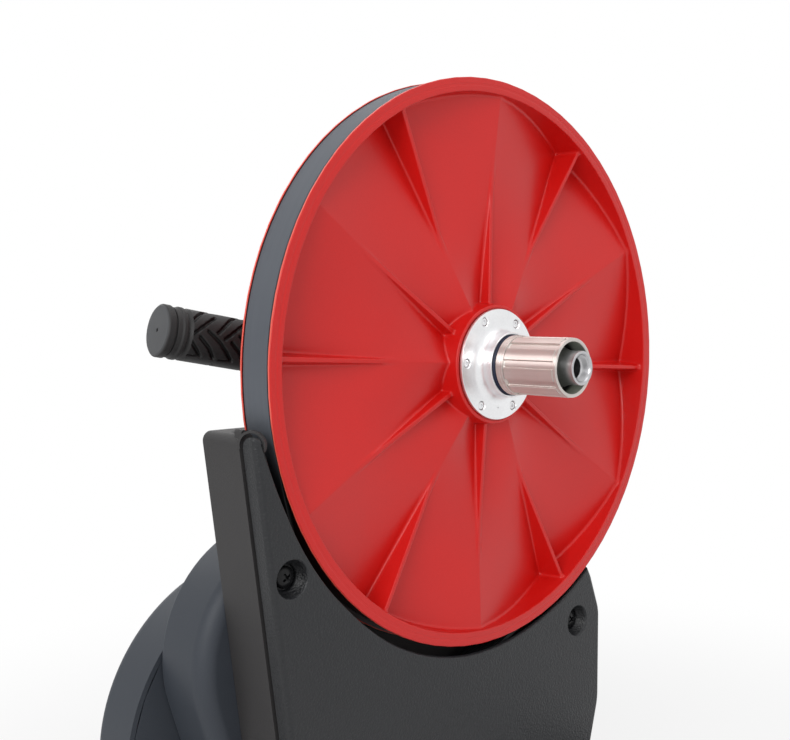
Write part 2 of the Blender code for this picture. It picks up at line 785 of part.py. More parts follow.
def lower_outline(inset, top_z, tip_drop=0.0):
    """Rear, bottom and front edges shared by the casting and its cover."""
    bottom = TUB_BOTTOM_Z + inset
    return [
        (rear_edge_x(top_z) + inset, top_z, 0.0),
        (rear_edge_x(bottom) + inset, bottom, FOOT_CORNER_R),
        (FRONT_EDGE_X - FRONT_FOOT_IN - inset, bottom, FOOT_CORNER_R),
        (FRONT_EDGE_X - inset, (bottom + FRONT_SHOULDER_Z) / 2, FRONT_BEND_R),
        (FRONT_EDGE_X - inset, FRONT_SHOULDER_Z, SHOULDER_BEND_R),
        (FRONT_TIP_X - inset, FRONT_TIP_Z - tip_drop, 0.0),
    ]


def frame_outline():
    """Rear wall, foot, front horn, and the upright that carries the axle."""
    edges = lower_outline(0.0, TUB_TOP_Z)
    edges[0] = (REAR_TOP_X, TUB_TOP_Z, TOP_ROUND)
    edges[-1] = (FRONT_TIP_X, FRONT_TIP_Z, TOP_ROUND)
    top, bend = AXLE_BOSS_R + RUNNING_GAP, AXLE_BOSS_R - RUNNING_GAP
    return rounded(edges + [
        (*FRONT_NECK, FRONT_NECK_ROUND),
        (top, top, bend),
        (-top, top, bend),
        (-top - REAR_NECK_OUT, TUB_TOP_Z, REAR_NECK_ROUND),
    ])


def pocket_outline(inset):
    """The hollow between the casting and its cover, up to a peak that the pulley's well cuts away."""
    edges = lower_outline(inset, TUB_TOP_Z - POCKET_DROP, POCKET_TIP_DROP)
    return rounded(edges + [(0.0, POCKET_PEAK_Z, 0.0)])


def screw_places():
    """Two screws stand round the pulley and two above the casting's foot."""
    places = []
    for angle, out in ((REAR_SCREW_ANGLE, REAR_SCREW_OUT), (FRONT_SCREW_ANGLE, FRONT_SCREW_OUT)):
        places.append(((PULLEY_R + out) * math.cos(angle), (PULLEY_R + out) * math.sin(angle)))
    low = TUB_BOTTOM_Z + LOWER_SCREW_UP
    rear, front = rear_edge_x(low) + LOWER_SCREW_REAR_IN, FRONT_EDGE_X - LOWER_SCREW_FRONT_IN
    return places + [(rear, low), (front, low)]


def frame_casting():
    made = plate("frame_casting", frame_outline(), FRAME_FRONT_Y, FRAME_BACK_Y, "frame_grey")
    ahead = FRAME_FRONT_Y - OVERSHOOT
    clearance = PULLEY_R + WHEEL_CLEARANCE
    well = loft("well", [circle(clearance, y, WELL_STEPS) for y in (ahead, FRAME_PLATE_Y)])
    cut(made, plate("pocket", pocket_outline(TUB_WALL), ahead, FRAME_PLATE_Y - GAP))
    join(made, handle_rod("boss", GRIP_LENGTH + GAP, BAR_LENGTH + SOCKET_BOSS_DEPTH, SOCKET_BOSS_R))
    cut(made, well)
    for x, z in screw_places():
        join(made, bolt_drill(SCREW_BOSS_R, FRAME_FRONT_Y + GAP, FRAME_PLATE_Y + RUNNING_GAP, x, z))
    join(made, bolt_drill(AXLE_SLEEVE_R, FRAME_PLATE_Y + RUNNING_GAP, AXLE_BOSS_END_Y, 0, 0, FINE))
    join(made, roof())
    cut(made, handle_rod("bore", GRIP_LENGTH - RUNNING_GAP, BAR_LENGTH + 2 * GAP, BAR_R + GAP))
    seat_r, seat_y, fly = SHAFT_BEARING_R + GAP, FRAME_PLATE_Y - RUNNING_GAP, (FLY_X, FLY_Z)
    back = FRAME_BACK_Y + OVERSHOOT
    boss_y = FRAME_PLATE_Y - BEARING_FLOOR
    join(made, bolt_drill(seat_r + TUB_WALL, boss_y, FRAME_BACK_Y - RUNNING_GAP, *fly, MEDIUM))
    cut(made, bolt_drill(seat_r, seat_y, back, *fly, ROUND_STEPS))
    cut(made, bolt_drill(SHAFT_R + RUNNING_GAP, seat_y - OVERSHOOT, back, *fly, MEDIUM))
    cut(made, bolt_drill(AXLE_R + GAP, FRAME_PLATE_Y - OVERSHOOT, AXLE_BOSS_END_Y + OVERSHOOT, 0, 0, MEDIUM))
    for x, z in screw_places():
        cut(made, bolt_drill(SCREW_R + GAP, ahead, FRAME_PLATE_Y - RUNNING_GAP, x, z))
    for outline in casting_pockets():
        cut(made, plate("relief", rounded(outline, 2), FRAME_PLATE_Y + RELIEF_FLOOR, back))
    for x in BASE_BOLTS_X:
        low, high = (x, BASE_BOLT_Y, TUB_BOTTOM_Z - OVERSHOOT), (x, BASE_BOLT_Y, BASE_BOLT_TIP_Z + GAP)
        cut(made, rod("hole", low, high, BASE_BOLT_R + GAP, steps=TINY))
    return place(smooth(made, 30), 0, 0)


def roof():
    """A thin arch of the casting over the end of the drive-side cover."""
    steps = 8
    section = []
    for radius, path in ((ROOF_R, range(steps + 1)), (ROOF_R - ROOF_THICK, range(steps, -1, -1))):
        for i in path:
            angle = ROOF_START + (ROOF_END - ROOF_START) * i / steps
            section.append((ROOF_Y + radius * math.cos(angle), ROOF_Z + radius * math.sin(angle)))
    low = rear_edge_x(ROOF_Z)
    return loft("roof", [[(x, y, z) for y, z in section] for x in (low, low + ROOF_LENGTH)])


def casting_pockets():
    """Lightening pockets in the casting's back, clear of the brake housing."""
    low, high = RELIEF_SPLIT_Z - RELIEF_RIB / 2, RELIEF_SPLIT_Z + RELIEF_RIB / 2
    bottom, right = TUB_BOTTOM_Z + 2 * TUB_WALL, FRONT_EDGE_X - 2 * TUB_WALL
    rear, middle, front = RELIEF_LOW_X
    x1, x2, x3, x4 = RELIEF_HIGH_X
    x5, x6, x7, x8 = RELIEF_SPLIT_X
    outlines = (
        [(rear, low), (rear, bottom), (middle, bottom), (middle, low)],
        [(front, low), (front, bottom), (right - FRONT_FOOT_IN, bottom),
         (right, FRONT_SHOULDER_Z - FRONT_FOOT_IN), (right - RELIEF_RIB, low)],
        [(x1, RELIEF_TOP_Z), (x5, high), (x6, high), (x2, RELIEF_TOP_Z)],
        [(x3, RELIEF_TOP_Z), (x7, high), (x8, high), (x4, RELIEF_FRONT_Z)],
    )
    return [[(x, z, RELIEF_CORNER) for x, z in outline] for outline in outlines]


def handle_point(along):
    return HANDLE_END + HANDLE_AXIS * along


def handle_rod(name, start, end, radius, kind=None):
    return rod(name, handle_point(start), handle_point(end), radius, kind)


def handle_turned(name, profile, kind, ring):
    """A lathe piece about the handle's axis from (radius, along) pairs."""
    made = upright_turned(name, profile, kind, MEDIUM + 2, ring)
    turn = Vector((0, 0, 1)).rotation_difference(HANDLE_AXIS)
    made.data.transform(Matrix.Translation(HANDLE_END) @ turn.to_matrix().to_4x4())
    return made


def handle():
    bar_start = GRIP_END_WALL + GAP
    bore = BAR_R - BAR_WALL
    place(handle_turned("handle_bar", [
        (bore, bar_start), (BAR_R, bar_start), (BAR_R, BAR_LENGTH), (bore, BAR_LENGTH),
    ], "dark_steel", True), 0, 0)
    groove, body = GRIP_R - GRIP_GROOVE, GRIP_R - GRIP_BODY_IN
    sleeve, soft = BAR_R + GAP, GRIP_END_ROUND
    place(handle_turned("handle_grip", [
        (sleeve, GRIP_END_WALL), (sleeve, GRIP_LENGTH), (body, GRIP_LENGTH), (body, GRIP_BODY_START),
        (groove, GRIP_RING_END + soft), (GRIP_R, GRIP_RING_END), (GRIP_R, GRIP_RING_START),
        (groove, GRIP_RING_START - soft), (groove, GRIP_END_RING + 2 * GAP), (GRIP_R, GRIP_END_RING),
        (GRIP_R, soft), (GRIP_R - soft, 0.0),
    ], "grip_rubber", False), 0, 0)


def cover_outline(inset, arc_inset, drop):
    """The cover's edge: the casting's lower edges, then an arc that follows the pulley."""
    arc_r = COVER_ARC_R + arc_inset
    top_z = COVER_TOP_Z - inset - drop
    edges = lower_outline(inset, top_z)
    x, z, _ = edges[0]
    tip_round = COVER_TIP_ROUND - inset * 0.5
    edges[0] = (x, z, tip_round)
    end_angle = math.atan2(FRONT_TIP_Z, FRONT_TIP_X - inset - COVER_ARC_X)
    start_angle = -math.pi - math.asin(top_z / arc_r)
    steps = 22
    arc = []
    for i in range(steps + 1):
        angle = end_angle + (start_angle - end_angle) * i / steps
        arc.append((COVER_ARC_X + arc_r * math.cos(angle), arc_r * math.sin(angle), 0.0))
    horn_x, horn_z = FRONT_TIP_X - inset, FRONT_TIP_Z - inset
    shoulder = (horn_x - COVER_HORN_BACK, horn_z + COVER_HORN_DROP, 0.0)
    tip = (horn_x, horn_z - COVER_HORN_DROP, 0.0)
    arc[-1] = (arc[-1][0], arc[-1][1], tip_round)
    return rounded(edges[:-1] + [tip, shoulder] + arc[1:])


def cover_loop(inset, arc_inset, y, drop=0.0):
    return [(x, y, z) for x, z in cover_outline(COVER_INSET + inset, arc_inset, drop)]


def drive_cover():
    seam = FRAME_FRONT_Y - GAP
    soft, hard = COVER_ROUND, COVER_ARC_ROUND
    made = loft("drive_cover", [
        cover_loop(0.0, 0.0, seam, COVER_TOP_DROP),
        cover_loop(0.0, 0.0, seam - COVER_TOP_DROP * 0.7, COVER_TOP_DROP * 0.12),
        cover_loop(0.0, 0.0, COVER_FACE_Y + soft),
        cover_loop(soft * 0.3, hard * 0.1, COVER_FACE_Y + soft * 0.3),
        cover_loop(soft, hard, COVER_FACE_Y),
    ], "cover_plastic")
    back = COVER_FACE_Y + COVER_PLATE
    cut(made, plate("inside", pocket_outline(COVER_INSET + TUB_WALL), back, seam + OVERSHOOT))
    lip = COVER_FACE_Y + COVER_PLATE / 2
    dish = COVER_FACE_Y + COVER_PLATE * 0.85
    well_floor = COVER_FACE_Y + SCREW_WELL_DEPTH
    for x, z in screw_places():
        join(made, bolt_drill(SCREW_WELL_R + SCREW_WELL_WALL, lip, seam - GAP, x, z, MEDIUM))
        cut(made, loft("well", [
            circle(SCREW_MOUTH_R + RUNNING_GAP, COVER_FACE_Y - RUNNING_GAP, MEDIUM, x, z),
            circle(SCREW_WELL_R + GAP, dish, MEDIUM, x, z),
            circle(SCREW_WELL_R, well_floor, MEDIUM, x, z),
        ]))
        cut(made, bolt_drill(SCREW_R + GAP, well_floor - RUNNING_GAP, seam + OVERSHOOT, x, z, TINY))
    return place(smooth(made, 30), 0, 0)


def cover_screws():
    seat = COVER_FACE_Y + SCREW_WELL_DEPTH - GAP
    for i, (x, z) in enumerate(screw_places()):
        made = turned(f"cover_screw_{i + 1}", [
            (SCREW_HEAD_R * 0.75, seat - SCREW_HEAD), (SCREW_HEAD_R, seat - SCREW_HEAD * 0.4),
            (SCREW_HEAD_R, seat), (SCREW_R, seat), (SCREW_R, seat + SCREW_LENGTH),
        ], "black_screw", TINY, ring=False)
        place(made, x, z)


def hull_outline(shrink, steps=11):
    """The brake housing's edge: two round stretches and their common tangents."""
    r1, r2 = HOUSING_R - shrink, HOUSING_LOW_R - shrink
    line = Vector((FLY_X - HOUSING_X, FLY_Z - HOUSING_Z))
    heading = math.atan2(line.y, line.x)
    spread = math.acos((r1 - r2) / line.length)
    points = []
    for i in range(steps + 1):
        angle = heading + spread + (2 * math.pi - 2 * spread) * i / steps
        points.append((HOUSING_X + r1 * math.cos(angle), HOUSING_Z + r1 * math.sin(angle)))
    for i in range(steps + 1):
        angle = heading - spread + 2 * spread * i / steps
        points.append((FLY_X + r2 * math.cos(angle), FLY_Z + r2 * math.sin(angle)))
    return points


def housing_loop(shrink, y):
    return [(x, y, z) for x, z in hull_outline(shrink)]


def brake_housing():
    """A closed drum whose front wall has a round opening behind the casting."""
    start = FRAME_BACK_Y + GAP
    floor = HOUSING_END_Y - HOUSING_WALL
    front = HOUSING_FRONT_ROUND
    loops = []
    for degrees in (0, 35, 65, 90):
        turn = math.radians(degrees)
        loops.append(housing_loop(front * (1 - math.sin(turn)), start + front * (1 - math.cos(turn))))
    made = loft("brake_housing", loops + [
        housing_loop(0.0, HOUSING_END_Y - HOUSING_ROUND),
        housing_loop(HOUSING_ROUND * 0.3, HOUSING_END_Y - HOUSING_ROUND * 0.3),
        housing_loop(HOUSING_ROUND, HOUSING_END_Y),
    ], "housing_plastic")
    wall, fly = HOUSING_WALL, (FLY_X, FLY_Z)
    cut(made, bolt_drill(HOUSING_OPENING_R, start - OVERSHOOT, start + wall + OVERSHOOT, *fly, MEDIUM))
    inside = ((wall + front * 0.5, start + wall), (wall, start + front), (wall, floor))
    cut(made, loft("inside", [housing_loop(shrink, y) for shrink, y in inside]))
    boss = floor - BEARING_WIDTH - 2 * GAP
    seat_r = SHAFT_BEARING_R + GAP
    join(made, bolt_drill(seat_r + HOUSING_WALL, boss, floor + RUNNING_GAP, *fly, MEDIUM))
    cut(made, bolt_drill(seat_r, boss - OVERSHOOT, floor, *fly, ROUND_STEPS))
    cut(made, bolt_drill(SHAFT_R + RUNNING_GAP, floor - OVERSHOOT, HOUSING_END_Y + OVERSHOOT, *fly, MEDIUM))
    x, y, z = socket_mouth()
    cut(made, rod("hole", (x - OVERSHOOT, y, z), (x + 2 * SOCKET_LENGTH, y, z), SOCKET_R + GAP, steps=COARSE))
    return place(smooth(made, 30), 0, 0)


def socket_mouth():
    reach = math.sqrt(HOUSING_LOW_R ** 2 - SOCKET_DROP ** 2)
    y = (FRAME_BACK_Y + HOUSING_END_Y) / 2
    return FLY_X - reach - SOCKET_PROUD, y, FLY_Z - SOCKET_DROP


def power_socket():
    """The inlet for the supply's plug, with its centre pin."""
    x, y, z = socket_mouth()
    pin = SOCKET_PIN_R
    well = SOCKET_LENGTH * 0.6
    made = upright_turned("power_socket", [
        (pin, pin), (pin, well), (SOCKET_BORE_R, well), (SOCKET_BORE_R, 0.0), (SOCKET_R, 0.0),
        (SOCKET_R, SOCKET_LENGTH),
    ], "black_screw", COARSE)
    made.data.transform(Matrix.Translation((x, y, z)) @ Matrix.Rotation(math.pi / 2, 4, "Y"))
    return place(made, 0, 0)


def control_board():
    """The circuit board on its spacers, with the larger parts that it carries."""
    width, thick, height = BOARD_WIDTH, BOARD_THICK, BOARD_HEIGHT
    seat = FRAME_BACK_Y + HOUSING_WALL + 2 * GAP
    front = seat + BOARD_SPACER
    x, z = HOUSING_X, HOUSING_Z + BOARD_LIFT
    low, high = (x - width / 2, front, z - height / 2), (x + width / 2, front + thick, z + height / 2)
    made = box("control_board", low, high, "board_green")
    for side in (-1, 1):
        for level in (-1, 1):
            px, pz = x + side * (width / 2 - BOARD_EDGE), z + level * (height / 2 - BOARD_EDGE)
            join(made, bolt_drill(BOARD_EDGE / 2, seat, front + thick / 2, px, pz, TINY))
    back = front + thick
    for px, pz, w, h, deep in BOARD_PARTS:
        centre_x, centre_z = x + px * width, z + pz * height
        half_x, half_z = w * width / 2, h * height / 2
        join(made, box("part", (centre_x - half_x, back - thick / 2, centre_z - half_z),
                       (centre_x + half_x, back + deep * BOARD_EDGE, centre_z + half_z)))
    return place(made, 0, 0)


def flywheel_guard():
    hole = FLY_HUB_R
    edge = COVER_R - COVER_WALL - GAP
    made = turned("flywheel_guard", [
        (hole, GUARD_Y), (edge, GUARD_Y), (edge, GUARD_Y + GUARD_THICK), (hole, GUARD_Y + GUARD_THICK),
    ], "housing_plastic", LARGE)
    return place(made, FLY_X, FLY_Z)


def flywheel_cover():
    inner = COVER_R - COVER_WALL
    floor = FLYWHEEL_Y + FLYWHEEL_WIDTH + COVER_CLEARANCE
    back = floor + COVER_WALL
    dish, bevel = COVER_R * COVER_DISH, COVER_CHAMFER
    made = turned("flywheel_cover", [
        (dish, floor), (inner - bevel, floor), (inner, floor - bevel), (inner, GUARD_Y), (COVER_R, GUARD_Y),
        (COVER_R, back - bevel), (COVER_R - bevel, back), (dish + COVER_DISH_STEP, back),
        (dish, back - COVER_DISH_STEP),
    ], "housing_plastic", LARGE, ring=False)
    return place(made, FLY_X, FLY_Z)


def flywheel_set(parent):
    """Steel flywheel with its rim on the outside, its shaft, and the small belt pulley."""
    bore = SHAFT_R + GAP
    back = FLYWHEEL_Y + FLYWHEEL_WIDTH
    rim_in = FLYWHEEL_R - FLYWHEEL_RIM
    web, face = back - FLY_WEB, back - FLY_FACE_IN
    hub = web - FLY_HUB
    place(turned("flywheel", [
        (bore, hub), (FLY_HUB_R, hub), (FLY_HUB_R, web), (rim_in, web), (rim_in, FLYWHEEL_Y),
        (FLYWHEEL_R, FLYWHEEL_Y), (FLYWHEEL_R, back), (rim_in, back), (rim_in - FLY_FACE_IN, face),
        (bore, face),
    ], "dark_steel", FINE), FLY_X, FLY_Z, parent)
    chamfer = RUNNING_GAP
    place(turned("flywheel_shaft", [
        (SHAFT_R - chamfer, SHAFT_FRONT_Y), (SHAFT_R, SHAFT_FRONT_Y + chamfer), (SHAFT_R, face),
    ], "steel", ROUND_STEPS, ring=False), FLY_X, FLY_Z, parent)
    rear = BELT_FRONT_Y + BELT_WIDTH + GAP
    end = rear + PINION_FLANGE_THICK
    land, flange = PINION_LAND_R, PINION_LAND_R + PINION_FLANGE
    place(turned("belt_pinion", [
        (bore, BELT_FRONT_Y), (land, BELT_FRONT_Y), (land, rear), (flange, rear), (flange, end), (bore, end),
    ], "steel", FINE), FLY_X, FLY_Z, parent)


def brake_stator():
    """A ring with six poles whose shoes face the inside of the flywheel's rim."""
    pitch = 2 * math.pi / POLES
    root = POLE_HALF / STATOR_RING_R
    neck = POLE_HALF / STATOR_SHOE_R
    arm = ((-pitch / 2, STATOR_RING_R), (-root, STATOR_RING_R), (-neck, STATOR_SHOE_R),
           (-SHOE_HALF_ANGLE, STATOR_SHOE_R + SHOE_TAPER), (-SHOE_HALF_ANGLE, STATOR_R), (0.0, STATOR_R),
           (SHOE_HALF_ANGLE, STATOR_R), (SHOE_HALF_ANGLE, STATOR_SHOE_R + SHOE_TAPER),
           (neck, STATOR_SHOE_R), (root, STATOR_RING_R))
    star = []
    for pole in range(POLES):
        for turn, radius in arm:
            angle = pole * pitch + turn
            star.append((radius * math.cos(angle), radius * math.sin(angle)))
    made = plate("brake_stator", star, STATOR_FRONT_Y, STATOR_BACK_Y, "dark_steel")
    seat = GUARD_Y + GUARD_THICK + GAP
    sleeve = STATOR_RING_R - RUNNING_GAP
    join(made, bolt_drill(sleeve, seat, STATOR_FRONT_Y + RUNNING_GAP, 0, 0, FINE))
    cut(made, bolt_drill(STATOR_BORE_R, seat - OVERSHOOT, STATOR_BACK_Y + OVERSHOOT, 0, 0, FINE))
    return place(smooth(made, 30), FLY_X, FLY_Z)


def coil_loop(radius, half, y0, y1):
    """A rectangle across a pole, at a given distance from the shaft."""
    return [(radius, y, across) for across, y in ((-half, y0), (half, y0), (half, y1), (-half, y1))]


def brake_coils():
    for pole in range(POLES):
        inner = (POLE_HALF + GAP, STATOR_FRONT_Y - GAP, STATOR_BACK_Y + GAP)
        outer = (POLE_HALF + COIL_THICK, STATOR_FRONT_Y - COIL_THICK + GAP, STATOR_BACK_Y + COIL_THICK - GAP)
        made = loft(f"brake_coil_{pole + 1}", [
            coil_loop(COIL_START_R, *inner), coil_loop(COIL_START_R, *outer),
            coil_loop(COIL_END_R, *outer), coil_loop(COIL_END_R, *inner),
        ], "copper", ring=True)
        made.data.transform(Matrix.Rotation(-pole * 2 * math.pi / POLES, 4, "Y"))
        place(made, FLY_X, FLY_Z)


def belt_circles():
    """Pulleys in belt order, as x, z, radius of the belt's middle, and sense of turning."""
    big = (0.0, 0.0, LAND_R + BELT_PITCH)
    small = (FLY_X, FLY_Z, PINION_LAND_R + BELT_PITCH)
    x, z = idler_centre()
    return [(*big, 1), (*small, 1), (x, z, IDLER_R + BELT_PITCH, -1)]


def idler_centre():
    """The idler pushes the lower run of the belt inwards, halfway along."""
    big, small = LAND_R + BELT_PITCH, PINION_LAND_R + BELT_PITCH
    line = Vector((FLY_X, FLY_Z))
    lift = math.acos((big - small) / line.length)
    normal_angle = math.atan2(FLY_Z, FLY_X) + lift
    normal = Vector((math.cos(normal_angle), math.sin(normal_angle)))
    middle = (normal * big + line + normal * small) / 2
    centre = middle + normal * (IDLER_R + BELT_PITCH - IDLER_PUSH)
    return centre.x, centre.y


def tangent(one, two):
    """Where the belt leaves circle one and meets circle two."""
    (x1, z1, r1, s1), (x2, z2, r2, s2) = one, two
    line = Vector((x2 - x1, z2 - z1))
    heading = math.atan2(line.y, line.x)
    lean = math.asin((r1 * s1 - r2 * s2) / line.length)
    angle = heading - math.pi / 2 + lean
    normal = Vector((math.cos(angle), math.sin(angle)))
    return Vector((x1, z1)) + normal * r1 * s1, Vector((x2, z2)) + normal * r2 * s2


def belt_path():
    circles = belt_circles()
    runs = [tangent(circles[i], circles[(i + 1) % 3]) for i in range(3)]
    path = []
    for i, (x, z, radius, sense) in enumerate(circles):
        centre = Vector((x, z))
        start, end = runs[i - 1][1] - centre, runs[i][0] - centre
        a = math.atan2(start.y, start.x)
        sweep = (math.atan2(end.y, end.x) - a) * sense % (2 * math.pi)
        steps = max(4, round(sweep / math.radians(5.0 if radius > 0.1 else 14.0)))
        for k in range(steps + 1):
            angle = a + sense * sweep * k / steps
            outward = Vector((math.cos(angle), math.sin(angle))) * sense
            path.append((centre + Vector((math.cos(angle), math.sin(angle))) * radius, outward))
    return path


def drive_belt():
    half = BELT_THICK / 2
    rows = []
    for offset, y in ((-half, BELT_FRONT_Y), (half, BELT_FRONT_Y), (half, BELT_FRONT_Y + BELT_WIDTH),
                      (-half, BELT_FRONT_Y + BELT_WIDTH)):
        rows.append([(p.x + n.x * offset, y, p.y + n.y * offset) for p, n in belt_path()])
    return place(loft("drive_belt", rows, "belt_rubber", ring=True), 0, 0)


def idler(parent):
    x, z = idler_centre()
    front, rear = BELT_FRONT_Y - GAP, BELT_FRONT_Y + BELT_WIDTH + GAP
    bore = IDLER_STUD_R + GAP
    place(turned("idler_pulley", [
        (bore, front), (IDLER_R, front), (IDLER_R, rear), (bore, rear),
    ], "steel", MEDIUM), x, z, parent)
    seat, shoulder = FRAME_PLATE_Y - 2 * GAP, IDLER_STUD_R + IDLER_SHOULDER
    place(turned("idler_stud", [
        (IDLER_STUD_R, front - GAP), (IDLER_STUD_R, rear + GAP), (shoulder, rear + GAP),
        (shoulder, seat),
    ], "dark_steel", COARSE, ring=False), x, z)


def pivot_y(side):
    return BEAM_MID_Y + side * PIVOT_OUT


def lug_outline():
    """The plate that carries both leg pivots, seen from above."""
    left, right = pivot_y(1) + LUG_R, pivot_y(-1) - LUG_R
    rear, front = PIVOT_X - LUG_R, PIVOT_X + LUG_R
    start, round_off = BEAM_X[1] - LUG_ROOT + OVERSHOOT, LUG_R - LUG_CORNER_IN
    return rounded([
        (start, BEAM_Y[1], 0.0), (rear, BEAM_Y[1] + LUG_FLARE, 0.0), (rear, left, round_off),
        (front, left, round_off), (front, right, round_off), (rear, right, round_off),
        (rear, BEAM_Y[0] - LUG_FLARE, 0.0), (start, BEAM_Y[0], 0.0),
    ], 5)


def base_beam():
    """A channel beam, open below, with an upper and a lower lug for the legs."""
    outline = [(BEAM_X[0], BEAM_Y[0]), (BEAM_X[1], BEAM_Y[0]), (BEAM_X[1], BEAM_Y[1]), (BEAM_X[0], BEAM_Y[1])]
    made = slab("base_beam", outline, BEAM_BOTTOM, BEAM_TOP, "frame_grey")
    join(made, slab("lug", lug_outline(), BEAM_TOP - LUG_THICK, BEAM_TOP),
         slab("lug", lug_outline(), BEAM_BOTTOM, BEAM_BOTTOM + LOWER_LUG_THICK))
    left, right = BEAM_Y[1] - BEAM_WALL, BEAM_Y[0] + BEAM_WALL
    rear, front = BEAM_X[0] + BEAM_WALL, BEAM_X[1] - LUG_ROOT
    inner = [(rear, right), (front, right), (front, left), (rear, left)]
    cut(made, slab("channel", inner, BEAM_BOTTOM - OVERSHOOT, BEAM_TOP - BEAM_WALL))
    for side in (1, -1):
        y = pivot_y(side)
        high = (PIVOT_X, y, BEAM_TOP + OVERSHOOT)
        cut(made, rod("hole", (PIVOT_X, y, 0.0), high, PIN_R + GAP, steps=ROUND_STEPS))
    for x in BASE_BOLTS_X:
        low, high = (x, BASE_BOLT_Y, BEAM_TOP - 2 * BEAM_WALL), (x, BASE_BOLT_Y, BEAM_TOP + OVERSHOOT)
        cut(made, rod("hole", low, high, BASE_BOLT_R + GAP, steps=TINY))
    return stand(smooth(made, 30), 0, 0)


def base_bolts():
    """Bolts up through the beam's web into the casting's foot."""
    head_top, head_r = BEAM_TOP - BEAM_WALL - GAP, BASE_BOLT_HEAD_R
    tip = AXLE_Z + BASE_BOLT_TIP_Z
    for i, x in enumerate(BASE_BOLTS_X):
        made = upright_turned(f"base_bolt_{i + 1}", [
            (head_r, head_top - BASE_BOLT_HEAD), (head_r, head_top), (BASE_BOLT_R, head_top),
            (BASE_BOLT_R, tip),
        ], "black_screw", TINY)
        stand(made, x, BASE_BOLT_Y)


def section(x, half, low, high, edge):
    """A rounded upright rectangle across local X."""
    corners = [(-half, low, edge), (half, low, edge), (half, high, edge), (-half, high, edge)]
    return [(x, y, z) for y, z in rounded(corners, 2)]


def leg(name, side, parent):
    """A tapering leg, drawn along local X from its pivot eye."""
    eye_low = BEAM_BOTTOM + LOWER_LUG_THICK + GAP
    eye_high = BEAM_TOP - LUG_THICK - GAP
    low, top, edge = LEG_BOTTOM, eye_high - LEG_EYE_STEP, LEG_EDGE
    waist = LEG_LENGTH * 0.52
    tip, end = LEG_TIP_HALF, LEG_TIP_EDGE
    made = loft(name, [
        section(LEG_START, LEG_ROOT_HALF, low, top, edge),
        section(LEG_LENGTH * 0.20, LEG_ROOT_HALF, low, top, edge),
        section(waist, (LEG_ROOT_HALF + tip) / 2, low, LEG_TIP_TOP + LEG_WAIST_RISE, edge),
        section(LEG_LENGTH, tip, low, LEG_TIP_TOP, edge),
        section(LEG_LENGTH + tip * 0.6, tip * 0.86, low, LEG_TIP_TOP - LEG_WAIST_RISE / 2, edge),
        section(LEG_LENGTH + tip * 1.1, tip * 0.50, low + LEG_WAIST_RISE, LEG_TIP_TOP - end, end),
    ], "frame_grey")
    join(made, upright_turned("eye", [(LEG_EYE_R, eye_low), (LEG_EYE_R, eye_high)], steps=MEDIUM))
    cut(made, rod("hole", (0, 0, 0), (0, 0, eye_high + OVERSHOOT), PIN_R + GAP, steps=ROUND_STEPS))
    cut(made, stud_hole(LEG_LENGTH, 0))
    made.rotation_euler = (0, 0, side * LEG_SPREAD)
    return stand(smooth(made, 30), PIVOT_X, pivot_y(side), parent)


def stud_hole(x, y):
    return rod("hole", (x, y, 0), (x, y, LEG_BOTTOM + FOOT_STUD), FOOT_STUD_R + GAP, steps=ROUND_STEPS)


def foot(name, x, y, parent=None):
    """A moulded rubber foot with a stud that presses into the leg."""
    made = upright_turned(name, [
        (FOOT_R - FOOT_ROUND, 0.0), (FOOT_R, FOOT_ROUND), (FOOT_R - FOOT_TAPER, LEG_BOTTOM - GAP),
        (FOOT_STUD_R, LEG_BOTTOM - GAP), (FOOT_STUD_R, LEG_BOTTOM + FOOT_STUD - GAP),
    ], "foot_rubber", ROUND_STEPS)
    return stand(made, x, y, parent)


def leg_set(label, side):
    y = pivot_y(side)
    pivot = joint_empty(f"{label}_leg_axis", PIVOT_X, y, BEAM_BOTTOM - AXLE_Z)
    leg(f"{label}_leg", side, pivot)
    reach = side * LEG_SPREAD
    foot(f"{label}_leg_foot", FRONT_FOOT_X, y + LEG_LENGTH * math.sin(reach), pivot)
    pin_top, head = BEAM_TOP + KNOB_HEIGHT * 0.5, BEAM_BOTTOM - GAP
    made = upright_turned(f"{label}_leg_pin", [
        (PIN_HEAD_R, head - PIN_HEAD), (PIN_HEAD_R, head), (PIN_R, head), (PIN_R, pin_top),
    ], "steel", ROUND_STEPS)
    stand(made, PIVOT_X, y)
    knob(f"{label}_leg_knob", y, pin_top)


def knob(name, y, pin_top):
    """A lobed hand nut that clamps the leg's pivot."""
    def lobes(radius, z, depth):
        steps = KNOB_LOBES * 4
        points = []
        for i in range(steps):
            angle = 2 * math.pi * i / steps
            r = radius - depth * (0.5 - 0.5 * math.cos(KNOB_LOBES * angle))
            points.append((r * math.cos(angle), r * math.sin(angle), z))
        return points

    seat, deep = BEAM_TOP + GAP, KNOB_LOBE_DEPTH
    bore = PIN_R + GAP
    made = loft(name, [
        lobes(bore, pin_top + GAP, 0.0), lobes(bore, seat, 0.0), lobes(KNOB_R * 0.62, seat, 0.0),
        lobes(KNOB_R, seat + KNOB_BASE_HEIGHT, deep), lobes(KNOB_R, seat + KNOB_HEIGHT - deep, deep),
        lobes(KNOB_R - deep, seat + KNOB_HEIGHT, deep * 2 / 3),
    ], "grip_rubber")
    return stand(smooth(made, 40), PIVOT_X, y)


